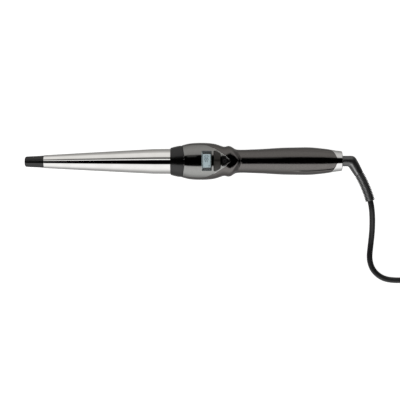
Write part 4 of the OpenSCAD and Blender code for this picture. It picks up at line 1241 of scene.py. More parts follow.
@dataclass
class Plug:
    """The flat two-pin plug with its ribbed strain relief, its pins pointing along +Y."""

    x: float = 336.0
    rear_y: float = -16.0
    length: float = 31.0
    width: float = 35.0
    height: float = 13.7
    pin_r: float = 2.0
    pin_len: float = 19.0
    pin_pitch: float = 18.6

    def place(self, points: Points) -> Points:
        """Turns points that were drawn along +X from the plug's rear into place."""
        p = np.asarray(points, float)
        return np.stack([self.x + p[..., 1], self.rear_y + p[..., 0], p[..., 2]], -1)

    def section(self, half: float, tall: float, corner: float, n: int = 64) -> Points:
        """A rounded oblong seen along the plug, as y and z about its middle."""
        angle = np.linspace(0, 2 * math.pi, n, endpoint=False)
        power = 2 / corner
        c, s = np.cos(angle), np.sin(angle)
        return np.stack([half * np.sign(c) * np.abs(c) ** power, tall * np.sign(s) * np.abs(s) ** power], 1)

    def body(self) -> bpy.types.Object:
        """The moulded body: a waisted grip that widens to a flat front with a rounded rim."""
        h, w = self.height / 2, self.width / 2
        rows = [
            (0.0, 4.9, 4.9, 2.0), (0.6, 6.2, 5.4, 2.1), (2.5, 7.6, 5.9, 2.3), (6.0, 9.6, 6.2, 2.5),
            (10.0, 12.6, 6.45, 2.8), (13.5, 15.3, 6.65, 3.1), (16.5, 16.7, h - 0.12, 3.4),
            (20.0, w - 0.3, h - 0.04, 3.6), (25.0, w - 0.05, h, 3.8), (29.2, w, h, 3.8),
            (30.2, w - 0.2, h - 0.2, 3.8), (30.8, w - 0.6, h - 0.6, 3.8), (31.0, w - 1.2, h - 1.2, 3.8),
        ]  # fmt: skip
        table = np.array(rows)
        spans = zip(table[:-1, 0], table[1:, 0], strict=True)
        fine = np.concatenate([np.linspace(a, b, 4, endpoint=False) for a, b in spans])
        fine = np.append(fine, table[-1, 0])
        curves = [np.interp(fine, table[:, 0], table[:, k]) for k in (1, 2, 3)]
        rings = []
        for x, half, tall, corner in zip(fine, *curves, strict=True):
            flat = self.section(half, tall, corner)
            grip = 0.5 * math.exp(-(((x - 12) / 5.5) ** 2))
            ribs = grip * (0.5 + 0.5 * math.cos(2 * math.pi * x / 2.6))
            squeeze = 1 - ribs / tall * (np.abs(flat[:, 0]) < 0.62 * half)
            rings.append(np.stack([np.full(len(flat), x), flat[:, 0], h + flat[:, 1] * squeeze], 1))
        pole = rings[0] * 0 + np.array([0, 0, h])
        cap = rings[-1] * 0 + np.array([self.length, 0, h])
        shape = Shape()
        shape.tube(self.place(np.array([pole, *rings, cap])))
        return shape.piece("plug_moulding", Look.PLUG.value)

    def rods(self, rows: Sequence[tuple[float, float]], sides: int, y: float) -> list[Points]:
        """Rings along the plug about a line at y, from rows of place and radius."""
        angle = np.linspace(0, 2 * math.pi, sides, endpoint=False)
        h = self.height / 2
        return [
            np.stack([np.full(sides, x), y + r * np.cos(angle), h + r * np.sin(angle)], 1) for x, r in rows
        ]

    def relief(self) -> bpy.types.Object:
        """The tapered strain relief's core, from the cord to the body."""
        rows = [
            (-23.0, 0.0), (-24.0, 3.1), (-24.0, 4.0), (-23.7, 4.15), (-22.6, 4.2), (-22.4, 3.6),
            (-1.0, 4.4), (0.5, 4.6), (0.6, 0.0),
        ]  # fmt: skip
        shape = Shape()
        shape.tube(self.place(np.array(self.rods(rows, 48, 0.0))))
        return shape.piece("plug_relief_core", Look.PLUG.value)

    def pins(self) -> list[bpy.types.Object]:
        """The metal pins with round noses, and their insulating sleeves."""
        front, tip, r = self.length, self.pin_len, self.pin_r
        bends = np.linspace(0, math.pi / 2, 7)
        nose = [(tip - 1.6 + 1.6 * math.sin(a), r - 1.1 + 1.1 * math.cos(a)) for a in bends]
        metal = [(-9.5, 0.0), (-9.5, 2.5), (-0.4, 2.5), (-0.4, 1.9), (9.8, 1.9), (10.0, r), *nose, (tip, 0.0)]
        sleeve = [(-0.3, 1.85), (-0.3, 2.0), (9.7, 1.99), (9.95, 1.9), (9.95, 1.85)]
        made = []
        for name, rows, look, closed in (
            ("plug_pin_metal", metal, Look.PIN, False),
            ("plug_pin_sleeves", sleeve, Look.PLUG, True),
        ):
            shape = Shape()
            for side in (-1, 1):
                rings = self.rods([(front + x, r) for x, r in rows], 40, side * self.pin_pitch / 2)
                shape.tube(self.place(np.array(rings)), closed)
            made.append(shape.piece(name, look.value))
        return made

    def build(self) -> list[bpy.types.Object]:
        """Makes the plug's pieces."""
        body = keep(self.body(), "root", "plug_rubber", "plug_body")
        core = keep(self.relief(), "root", "plug_rubber")
        ribs = RibStack(9, 4.3, 1.3, 1.1, 0.3)
        sizes = {
            "Taper": 0.022,
            "Centre": tuple(np.array([self.x - 10000, self.rear_y - 20.9, self.height / 2]) * MM),
            "Arc Radius": 10.0,
            "Start Angle": 0.0,
            "Angle Step": 2.4 / 10000,
            "Material": Look.PLUG.value.material(),
        }
        stack = keep(grown("plug_relief_ribs", ribs.tree(), sizes), "root", "plug_rubber")
        metal, sleeves = self.pins()
        keep(metal, "root", "pin_brass", "plug_pins")
        keep(sleeves, "root", "plug_rubber")
        return [body, core, stack, metal, sleeves]


@dataclass
class CoilTie:
    """The hook-and-loop strap round the coil's left side, drawn as one closed loop without its free end."""

    centre: tuple[float, float] = (288.0, -77.0)
    inner_r: float = 21.0
    outer_r: float = 51.0
    low: float = 1.1
    high: float = 13.1
    width: float = 12.0
    thick: float = 0.9

    def build(self) -> bpy.types.Object:
        """Makes the strap as one flat loop that hugs the turns, with rounded corners."""
        x0, x1 = -self.outer_r - 0.15, -self.inner_r + 0.95
        z0, z1 = self.low - 0.15, self.high + 0.15
        inner = rounded([(x0, z0), (x1, z0), (x1, z1), (x0, z1)], 3.0, 0.8)
        out = loop_outward(inner)
        outer = inner + out * self.thick
        sag = 0.35 * np.sin(math.pi * (inner[:, 0] - x0) / (x1 - x0) * 4.5) ** 2
        top = inner[:, 1] > (z0 + z1) / 2
        inner[:, 1] -= np.where(top & (np.abs(out[:, 1]) > 0.9), sag, 0)
        outer[:, 1] -= np.where(top & (np.abs(out[:, 1]) > 0.9), sag, 0)
        cx, cy = self.centre
        rows = []
        for y, ring in ((-0.5, inner), (-0.5, outer), (0.5, outer), (0.5, inner)):
            rows.append(np.stack([cx + ring[:, 0], np.full(len(ring), cy + y * self.width), ring[:, 1]], 1))
        shape = Shape()
        shape.tube(np.array(rows), True)
        strap = shape.piece("coil_strap", Look.STRAP.value)
        bevel(strap, 0.2)
        return keep(strap, "root", "tie_strap", "cord_tie")


# ---- barrel, tip and collar ----


@dataclass
class Barrel:
    """The tapered polished tube, with a parallel stretch in front of the collar."""

    tip_r: float = 6.7
    base_r: float = 13.0
    length: float = 131.4
    parallel: float = 18.0
    bow: float = 0.03
    root: float = 28.0
    wall: float = 1.2

    def tree(self) -> bpy.types.NodeTree:
        """A grid rolled round the axis, its radius given by the taper's rule."""
        taper = self.length - self.parallel
        inputs: dict[str, tuple[str, object]] = {
            "Start": ("Float", X_BARREL * MM),
            "Length": ("Float", (self.length + self.root) * MM),
            "Taper Length": ("Float", taper * MM),
            "Tip Radius": ("Float", self.tip_r * MM),
            "Knee Radius": ("Float", (self.base_r - 0.15) * MM),
            "Base Radius": ("Float", self.base_r * MM),
            "Bow": ("Float", self.bow),
            "Flare": ("Float", 0.15 / self.parallel),
            "Axis Height": ("Float", AXIS_Z * MM),
            "Material": ("Material", None),
        }
        tree, start, end = geometry_tree("tapered_tube", inputs)
        given = start.outputs
        node = partial(add, tree)
        sheet = {"Size X": 1.0, "Size Y": 1.0, "Vertices X": 240, "Vertices Y": 145}
        grid = node("GeometryNodeMeshGrid", sheet)
        flat = node("ShaderNodeSeparateXYZ", {0: node("GeometryNodeInputPosition")}).outputs
        from_end = node("ShaderNodeMath", {0: flat[0], 1: 0.5}, operation="ADD")
        run = node("ShaderNodeMath", {0: from_end, 1: given["Length"]}, operation="MULTIPLY")
        angle = node("ShaderNodeMath", {0: flat[1], 1: 2 * math.pi}, operation="MULTIPLY")
        sine = node("ShaderNodeMath", {0: angle}, operation="SINE")
        cosine = node("ShaderNodeMath", {0: angle}, operation="COSINE")
        part = node("ShaderNodeMath", {0: run, 1: given["Taper Length"]}, operation="DIVIDE")
        share = node("ShaderNodeMath", {0: part, 1: 1.0}, operation="MINIMUM")
        rest = node("ShaderNodeMath", {0: 1.0, 1: share}, operation="SUBTRACT")
        hump = node("ShaderNodeMath", {0: share, 1: rest}, operation="MULTIPLY")
        bowed = node("ShaderNodeMath", {0: hump, 1: given["Bow"]}, operation="MULTIPLY")
        raised = node("ShaderNodeMath", {0: share, 1: bowed}, operation="ADD")
        radii = {0: given["Knee Radius"], 1: given["Tip Radius"]}
        rise = node("ShaderNodeMath", radii, operation="SUBTRACT")
        taper_rule = {0: raised, 1: rise, 2: given["Tip Radius"]}
        cone = node("ShaderNodeMath", taper_rule, operation="MULTIPLY_ADD")
        over = node("ShaderNodeMath", {0: run, 1: given["Taper Length"]}, operation="SUBTRACT")
        past = node("ShaderNodeMath", {0: over, 1: 0.0}, operation="MAXIMUM")
        flared = node("ShaderNodeMath", {0: past, 1: given["Flare"], 2: cone}, operation="MULTIPLY_ADD")
        radius = node("ShaderNodeMath", {0: flared, 1: given["Base Radius"]}, operation="MINIMUM")
        x = node("ShaderNodeMath", {0: run, 1: given["Start"]}, operation="ADD")
        y = node("ShaderNodeMath", {0: radius, 1: sine}, operation="MULTIPLY")
        height = {0: radius, 1: cosine, 2: given["Axis Height"]}
        z = node("ShaderNodeMath", height, operation="MULTIPLY_ADD")
        rolled = node("ShaderNodeCombineXYZ", {0: x, 1: y, 2: z})
        moved = node("GeometryNodeSetPosition", {"Geometry": grid, "Position": rolled})
        merged = node("GeometryNodeMergeByDistance", {"Geometry": moved, "Distance": 1e-6})
        finish_tree(tree, start, end, merged)
        return tree

    def build(self) -> bpy.types.Object:
        """Makes the tube with its wall."""
        tube = grown("barrel_tube", self.tree(), {"Material": Look.BARREL.value.material()})
        facing = tube.data.polygons[0]
        centre = facing.center - Vector((facing.center.x, 0, AXIS_Z * MM))
        if facing.normal.dot(centre) < 0:
            tube.data.flip_normals()
        wall = tube.modifiers.new("wall", "SOLIDIFY")
        wall.thickness = self.wall * MM
        wall.offset = -1.0
        wall.use_even_offset = False
        tube.modifiers.new("edges", "BEVEL").width = 0.2 * MM
        tube.modifiers["edges"].segments = 2
        tube.modifiers["edges"].limit_method = "ANGLE"
        tube.modifiers["edges"].angle_limit = math.radians(60)
        keep(tube, "root", "polished_barrel", "barrel")
        return tube


@dataclass
class CoolTip:
    """The heat-resistant cap on the barrel's tip."""

    edge_r: float = 1.95

    def build(self) -> bpy.types.Object:
        """Makes the cap with its rounded nose, slight dome and spigot."""
        x = X_TIP
        nose = [(x, 0.0), (x + 0.03, 1.3), (x + 0.15, 2.6), (x + 0.32, 3.45)]
        r = self.edge_r
        steps = np.radians([15, 30, 45, 60, 75, 90])
        curve = [(x + 0.32 + r * (1 - math.cos(a)), 3.45 + r * math.sin(a)) for a in steps]
        side = [(x + 5, 5.55), (x + 9, 5.73), (x + 13, 5.93), (x + 17, 6.16), (x + 19.7, 6.34)]
        end = [(x + 19.95, 6.34), (x + 20.05, 6.2), (x + 20.05, 4.8), (x + 24, 4.8), (x + 24, 0.0)]
        shape = Shape()
        turned(shape, nose + curve + side + end)
        return keep(shape.piece("cool_tip", Look.TIP.value), "root", "black_heat_plastic", "tip_cap")


@dataclass
class FrontCollar:
    """The satin collar between barrel and head, its rear edge bowed over the display side."""

    front_r: float = 14.3
    bore_r: float = 13.1
    corner: float = 1.2

    def build(self) -> bpy.types.Object:
        """Makes the collar as a ring whose section follows the bowed rear edge."""
        sides = 160
        angle = np.linspace(0, 2 * math.pi, sides, endpoint=False)
        rear_r = SHOULDER_R - 0.25
        rear_x = collar_edge(rear_r * np.sin(angle))
        mid_r = (self.front_r + SHOULDER_R) / 2 + 0.15
        c = self.corner
        rows: list[tuple[float | Points, float | Points]] = [
            (X_COLLAR, self.bore_r + 0.15), (X_COLLAR, self.front_r - c),
        ]  # fmt: skip
        for a in np.radians([18, 36, 54, 72, 90]):
            rows.append((X_COLLAR + c * (1 - math.cos(a)), self.front_r - c * (1 - math.sin(a))))
        places = [X_COLLAR + c, X_COLLAR + 6, X_SHOULDER, X_SHOULDER + 3]
        outer = Spline(places, [self.front_r, mid_r, rear_r, rear_r])
        for t in np.linspace(0.08, 1, 12):
            x = X_COLLAR + c + (rear_x - 0.3 - X_COLLAR - c) * t
            rows.append((x, outer.at(x)))
        for a in np.radians([22, 45, 67, 90]):
            rows.append((rear_x - 0.3 + 0.3 * math.sin(a), rear_r - 0.3 * (1 - math.cos(a))))
        rows += [(rear_x, self.bore_r), (X_COLLAR + 0.2, self.bore_r)]
        shape = Shape()
        turned(shape, rows, sides, True)
        collar = shape.piece("front_collar_ring", Look.COLLAR.value)
        return keep(collar, "root", "black_heat_plastic", "front_collar")


# ---- head and handle ----


@dataclass
class FacePlan:
    """Outlines of the face panel, the window and the keys, seen from above."""

    panel_half_w: float = 17.0
    window_x: float = 24.2
    window_l: float = 9.7
    window_w: float = 19.8
    rocker_x: float = 31.6
    rocker_l: float = 6.6
    rocker_w: float = 20.0
    power_x: float = 39.8
    power_l: float = 8.0
    power_w: float = 10.0
    nose_x: float = X_RING + 1.2

    def half_width(self) -> Spline:
        """The panel's half width along the wand."""
        w = self.panel_half_w
        rows = [
            (X_SHOULDER - 1, w - 2.1), (X_SHOULDER + 8, w - 0.5), (X_SHOULDER + 18, w),
            (X_SHOULDER + 26.5, w - 1), (X_RING - 15.2, w - 4.5), (X_RING - 9.2, 8.7),
            (X_RING - 2.4, 4.1), (self.nose_x, 0.8),
        ]  # fmt: skip
        return Spline([r[0] for r in rows], [r[1] for r in rows])

    def panel(self) -> Loop:
        """The face panel's outline, from the collar to its nose."""
        half = self.half_width()
        xs = np.concatenate([np.linspace(-1.2, 40, 70), np.linspace(40.5, self.nose_x, 19)])
        side = [(float(x), float(half.at(x))) for x in xs]
        front_y = side[0][1]
        ys = np.linspace(-front_y + 0.3, front_y - 0.3, 40)
        front = [(float(collar_edge(y)) + 0.12, float(y)) for y in ys]
        corners = front + side[1:] + [(x, -y) for x, y in side[:0:-1]]
        return softened(np.array(corners), 0.45, 3)

    def window(self, grow: float = 0.0) -> Loop:
        """The display window's outline."""
        return oblong(self.window_x, self.window_l / 2 + grow, self.window_w / 2 + grow, 0.5 + grow)

    def rocker(self, grow: float = 0.0) -> Loop:
        """The rocker's outline: straight in front, its rear corners cut at a slant."""
        x0, h = self.rocker_x - grow, self.rocker_w / 2 + grow
        x1 = self.rocker_x + self.rocker_l + grow
        corners = [
            (x0, -h), (x0 + 2.0, -h), (x1 - 0.9, -h + 2.3), (x1, -h + 4),
            (x1, h - 4), (x1 - 0.9, h - 2.3), (x0 + 2.0, h), (x0, h),
        ]  # fmt: skip
        return softened(rounded(corners, 0.8, 0.4), 0.35, 2)

    def power(self, grow: float = 0.0) -> Loop:
        """The power key's outline: a triangle that points along the handle."""
        x0, h = self.power_x - grow, self.power_w / 2 + grow
        x1 = self.power_x + self.power_l + grow
        corners = [(x0, -h), (x0 + 1.2, -h), (x1 - 0.2, -0.8), (x1 - 0.2, 0.8), (x0 + 1.2, h), (x0, h)]
        return softened(rounded(corners, 0.7, 0.35), 0.3, 2)


PLAN = FacePlan()


@dataclass
class Shells:
    """The handle's two gunmetal shells, with the opening for the face panel."""

    gap: float = 0.15
    end_x: float = X_SHELL_END
    crease_deg: float = 48.0
    screws: tuple[tuple[float, float], ...] = ((24.5, -12.4), (24.5, 12.4), (63.5, 0.0), (123.5, 0.0))

    def rows(self) -> Points:
        """Places along the wand where the shells have a ring of points."""
        head = np.linspace(0, 30, 42, endpoint=False)
        cove = np.linspace(30, 66, 96, endpoint=False)
        grip = np.linspace(66, self.end_x, 84)
        return np.concatenate([head, cove, grip])

    def bent(self, x: float, turn: Points) -> Points:
        """Moves a row to the collar's bow at the front and to the tongue at the rear."""
        y = np.abs(np.sin(turn))
        front = collar_edge(SHOULDER_R * y) + 0.1
        rear = self.end_x - tongue_back(y)
        start = np.clip(1 - x / 8, 0, 1) ** 2 * front
        tail = np.clip((x - 120) / (self.end_x - 120), 0, 1) ** 2 * (rear - self.end_x)
        return x + start + tail

    def crease(self, x: Points, turn: Points, side: int) -> Points:
        """Depth of the crease along the handle's rear part, fainter on one side."""
        deep = 0.9 if side < 0 else 0.2
        off = (turn - math.radians(self.crease_deg)) / math.radians(2.4)
        return deep * np.exp(-(off**2)) * eased(x, 112, 124)

    def edge_turn(self, x: float) -> float:
        """The angle from the top of the panel opening's edge at x, 0 behind the panel's nose."""
        nose = PLAN.nose_x + 0.1
        half = float(PLAN.half_width().at(min(x, nose))) + self.gap
        if x > nose:
            reach = (x - nose) / 0.7
            half = half * math.sqrt(max(0.0, 1 - reach**2)) if reach < 1 else 0.0
        return math.asin(min(half / float(SKIN.wide(x)), 0.999)) if half > 0 else 0.0

    def upper(self) -> bpy.types.Object:
        """Makes the upper shell as two side walls that meet behind the panel."""
        nose_end = PLAN.nose_x + 0.8
        xs = self.rows()
        close = [nose_end, nose_end - 0.12, nose_end - 0.35]
        xs = np.sort(np.append(xs[np.abs(xs - nose_end) > 0.25], close))
        line = 1 - self.crease_deg / 90
        near = [line + way * step for step in (0.0, 0.006, 0.013, 0.024, 0.037) for way in (-1, 1)]
        share = np.unique(np.round(np.append(np.linspace(0, 1, 31), near), 4))
        steps = len(share) - 1
        shape = Shape()
        left: list[np.ndarray] = []
        right: list[np.ndarray] = []
        for x in xs:
            edge = self.edge_turn(float(x)) if x < nose_end - 1e-9 else 0.0
            turn = math.pi / 2 + (edge - math.pi / 2) * share
            both = []
            for side in (1, -1):
                ids = []
                bent = self.bent(float(x), turn)
                for depth in (self.crease(bent, turn, side), SHELL_WALL):
                    pts = SKIN.point(bent, side * turn, depth)
                    if side == -1 and edge == 0.0:
                        first = shape.put(pts[:-1])
                        ids.append(np.append(np.arange(first, first + steps), both[0][len(ids)][-1]))
                    else:
                        first = shape.put(pts)
                        ids.append(np.arange(first, first + steps + 1))
                both.append(ids)
            left.append(np.array(both[0]))
            right.append(np.array(both[1]))
        for k in range(len(xs) - 1):
            for side, rows in ((1, left), (-1, right)):
                a, b = rows[k], rows[k + 1]
                for j in range(steps):
                    outer = (a[0][j], b[0][j], b[0][j + 1], a[0][j + 1])
                    inner = (a[1][j + 1], b[1][j + 1], b[1][j], a[1][j])
                    for q in (outer, inner):
                        shape.face(q if side > 0 else q[::-1])
                rims = [(a[0][0], a[1][0], b[1][0], b[0][0])]
                if left[k + 1][0][-1] != right[k + 1][0][-1] or left[k][0][-1] != right[k][0][-1]:
                    rims.append((b[0][-1], b[1][-1], a[1][-1], a[0][-1]))
                for q in rims:
                    shape.face(q if side > 0 else q[::-1])
        for rows in (left, right):
            sign = 1 if rows is left else -1
            for k, way in ((0, 1), (-1, -1)):
                r = rows[k]
                for j in range(steps):
                    q = (r[0][j], r[0][j + 1], r[1][j + 1], r[1][j])
                    shape.face(q if sign * way > 0 else q[::-1])
        shell = shape.piece("upper_handle_shell", Look.SHELL.value, 40)
        bevel(shell, 0.16)
        return keep(shell, "root", "gunmetal_shell", "upper_shell")

    def lower(self) -> bpy.types.Object:
        """Makes the lower shell, with counterbores for its screws."""
        xs = self.rows()
        turn = np.linspace(math.pi / 2, 3 * math.pi / 2, 61)
        rings = []
        for x in xs:
            bent = self.bent(float(x), turn)
            outer = SKIN.point(bent, turn, 0.0)
            inner = SKIN.point(bent, turn, SHELL_WALL)[::-1]
            rings.append(np.concatenate([outer, inner]))
        shape = Shape()
        n = 2 * len(turn)
        first = shape.put(np.array(rings))
        for k in range(len(xs) - 1):
            for j in range(n):
                i = (j + 1) % n
                a, b = first + k * n, first + (k + 1) * n
                shape.face((a + j, b + j, b + i, a + i))
        for k, way in ((0, 1), (len(xs) - 1, -1)):
            a = first + k * n
            for j in range(len(turn) - 1):
                q = (a + j, a + j + 1, a + n - 2 - j, a + n - 1 - j)
                shape.face(q if way > 0 else q[::-1])
        shell = shape.piece("lower_handle_shell", Look.SHELL.value, 40)
        drill = Shape()
        for x, y in self.screws:
            drill.tube(upright(x, y, [(2.6, -2.0), (2.6, 13.5)], 40))
        tool = drill.piece("screw_drill", Look.SHELL.value)
        cut = shell.modifiers.new("counterbores", "BOOLEAN")
        cut.object = tool
        cut.solver = "EXACT"
        bpy.context.view_layer.update()
        graph = bpy.context.evaluated_depsgraph_get()
        mesh = bpy.data.meshes.new_from_object(shell.evaluated_get(graph), depsgraph=graph)
        shell.modifiers.clear()
        shell.data = mesh
        bpy.data.objects.remove(tool)
        bevel(shell, 0.16)
        return keep(shell, "root", "gunmetal_shell", "lower_shell")

    def bosses(self) -> bpy.types.Object:
        """Makes the screw bosses' tubes inside the lower shell."""
        shape = Shape()
        for x, y in self.screws:
            rows = [(3.4, 3.2), (3.4, 16.9), (1.35, 16.9), (1.35, 13.52), (2.6, 13.52), (2.6, 3.2)]
            level = math.sqrt(max(0.05, 1 - (y / float(SKIN.wide(x))) ** 2))
            floor = AXIS_Z - float(SKIN.curves["belly"].at(x)) * level + 0.6
            shape.tube(upright(x, y, [(r, max(z, floor)) for r, z in rows], 32), True)
        return keep(shape.piece("screw_bosses", Look.SHELL.value), "root", "gunmetal_shell")

    def build(self) -> list[bpy.types.Object]:
        """Makes both shells and the bosses."""
        return [self.upper(), self.lower(), self.bosses()]


@dataclass
class FacePanel:
    """The silver face panel round the window and the keys."""

    bead_x: float = 30.5
    bead_r: float = 0.38

    def build(self) -> bpy.types.Object:
        """Makes the panel with its three openings and polished edge."""
        shape = Shape()
        holes = [PLAN.window(0.12), PLAN.rocker(0.3), PLAN.power(0.3)]
        SkinPlate(PLAN.panel(), holes, 0.25, 1.2, 0.55, 0.22, 0.8).build(shape)
        self.bead()
        return keep(shape.piece("silver_face_panel", Look.PANEL.value), "root", "silver_panel", "face_panel")

    def bead(self) -> bpy.types.Object:
        """Makes the bright bead along the panel's two slanted rear edges."""
        xs = np.linspace(self.bead_x, PLAN.nose_x - 1.2, 60)
        half = PLAN.half_width().at(xs) - 0.25
        ends = np.clip(np.sin(math.pi * np.linspace(0, 1, 60)) * 4, 0.15, 1)
        shape = Shape()
        for side, r in ((-1, self.bead_r), (1, 0.65 * self.bead_r)):
            path = SKIN.point(xs, side * np.arcsin(half / SKIN.wide(xs)), -0.12)
            swept(shape, path, r * ends, 12)
        return keep(shape.piece("panel_edge_bead", Look.CHROME.value), "root", "silver_panel")


class Segment(Enum):
    """The bars of a seven-bar digit: place across and up the digit, and whether it stands."""

    TOP = (0.0, 1.0, False)
    TOP_LEFT = (-0.5, 0.5, True)
    TOP_RIGHT = (0.5, 0.5, True)
    MIDDLE = (0.0, 0.0, False)
    LOW_LEFT = (-0.5, -0.5, True)
    LOW_RIGHT = (0.5, -0.5, True)
    LOW = (0.0, -1.0, False)


@dataclass
class Display:
    """The window lens and the seven-bar digits on the liquid crystal glass."""

    digit_w: float = 1.75
    digit_half_h: float = 1.85
    bar_w: float = 0.6
    clear_l: float = 7.8
    clear_w: float = 14.9
    pitch: float = 3.05
    middle_y: float = 1.6
    middle_x: float = 23.8

    def lit(self, digit: str) -> list[Segment]:
        """The bars that show a digit."""
        every = list(Segment)
        shown = {
            "0": [s for s in every if s is not Segment.MIDDLE],
            "1": [Segment.TOP_RIGHT, Segment.LOW_RIGHT],
            "8": every,
        }
        return shown[digit]

    def tree(self) -> bpy.types.NodeTree:
        """A six-sided bar set on every point and turned by the point's own angle."""
        inputs: dict[str, tuple[str, object]] = {
            "Bar Length": ("Float", 1.6 * MM),
            "Bar Width": ("Float", self.bar_w * MM),
            "Bar Height": ("Float", 0.04 * MM),
            "Material": ("Material", None),
        }
        tree, start, end = geometry_tree("digit_bars", inputs)
        given = start.outputs
        node = partial(add, tree)
        outline = node("GeometryNodeMeshCircle", {"Vertices": 6, "Radius": 0.5}, fill_type="NGON")
        flat = node("ShaderNodeSeparateXYZ", {0: node("GeometryNodeInputPosition")}).outputs
        x = node("ShaderNodeMath", {0: flat[0], 1: given["Bar Length"]}, operation="MULTIPLY")
        near = node("ShaderNodeMath", {0: flat[0]}, operation="SIGN")
        blunt = node("ShaderNodeMath", {0: flat[1], 1: given["Bar Width"]}, operation="MULTIPLY")
        wide = node("ShaderNodeMath", {0: blunt, 1: 1.155}, operation="MULTIPLY")
        middle = node("ShaderNodeMath", {0: flat[1]}, operation="ABSOLUTE")
        corner = node("ShaderNodeMath", {0: middle, 1: 0.1}, operation="GREATER_THAN")
        grow = node("ShaderNodeMath", {0: given["Bar Length"], 1: 0.25}, operation="MULTIPLY")
        less = node("ShaderNodeMath", {0: given["Bar Width"], 1: -0.5}, operation="MULTIPLY")
        reach = node("ShaderNodeMath", {0: grow, 1: less}, operation="ADD")
        shift = node("ShaderNodeMath", {0: reach, 1: near}, operation="MULTIPLY")
        held = node("ShaderNodeMath", {0: shift, 1: corner}, operation="MULTIPLY")
        moved_x = node("ShaderNodeMath", {0: x, 1: held}, operation="ADD")
        bar_place = node("ShaderNodeCombineXYZ", {0: moved_x, 1: wide})
        flat_bar = node("GeometryNodeSetPosition", {"Geometry": outline, "Position": bar_place})
        bar = node("GeometryNodeExtrudeMesh", {"Mesh": flat_bar, "Offset Scale": given["Bar Height"]})
        under = node("GeometryNodeFlipFaces", {0: flat_bar})
        whole = node("GeometryNodeJoinGeometry")
        tree.links.new(bar.outputs[0], whole.inputs[0])
        tree.links.new(under.outputs[0], whole.inputs[0])
        closed = node("GeometryNodeMergeByDistance", {"Geometry": whole, "Distance": 1e-6})
        angle = node("GeometryNodeInputNamedAttribute", {"Name": "turn"}, data_type="FLOAT")
        turn = node("ShaderNodeCombineXYZ", {2: angle})
        copies = {"Points": given["Geometry"], "Instance": closed, "Rotation": turn}
        finish_tree(tree, start, end, node("GeometryNodeInstanceOnPoints", copies))
        return tree

    def digits(self) -> bpy.types.Object:
        """Makes the bars of a temperature reading, its top towards the barrel."""
        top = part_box("display_glass")[1].z
        points, turns = [], []
        for k, digit in enumerate("180"):
            y0 = self.middle_y + (k - 1) * self.pitch
            for bar in self.lit(digit):
                across, up, stands = bar.value
                x, y = self.middle_x - up * self.digit_half_h, y0 + across * self.digit_w
                points.append((x * MM, y * MM, top))
                turns.append(0.0 if stands else math.pi / 2)
        for y in (-6.0, -4.7):
            points.append((26.6 * MM, y * MM, top))
            turns.append(0.0)
        seed = bpy.data.meshes.new("digit_points")
        seed.from_pydata(points, [], [])
        seed.attributes.new("turn", "FLOAT", "POINT").data.foreach_set("value", turns)
        bars = grown("display_digits", self.tree(), {"Material": Look.SEGMENT.value.material()}, seed)
        return keep(bars, "root", "display_grey")

    def lens(self) -> bpy.types.Object:
        """Makes the window, a little lower than the panel round it."""
        shape = Shape()
        SkinPlate(PLAN.window(), [], 0.2, 1.1, 0.25, 0.2, 0.8).build(shape)
        plate = shape.piece("window_lens_plate", Look.LENS.value)
        return keep(plate, "root", "window_lens", "display_window")

    def border(self) -> bpy.types.Object:
        """Makes the grey border printed behind the lens, open over the reading."""
        opening = oblong(PLAN.window_x - 0.1, self.clear_l / 2, self.clear_w / 2, 0.3)
        shape = Shape()
        SkinPlate(PLAN.window(-0.2), [opening], -1.15, 1.35, 0.05, 0.05, 0.6).build(shape)
        return keep(shape.piece("window_border", Look.BORDER.value), "root", "display_grey")

    def build(self) -> list[bpy.types.Object]:
        """Makes the lens, the border behind it and the digits."""
        return [self.lens(), self.border(), self.digits()]


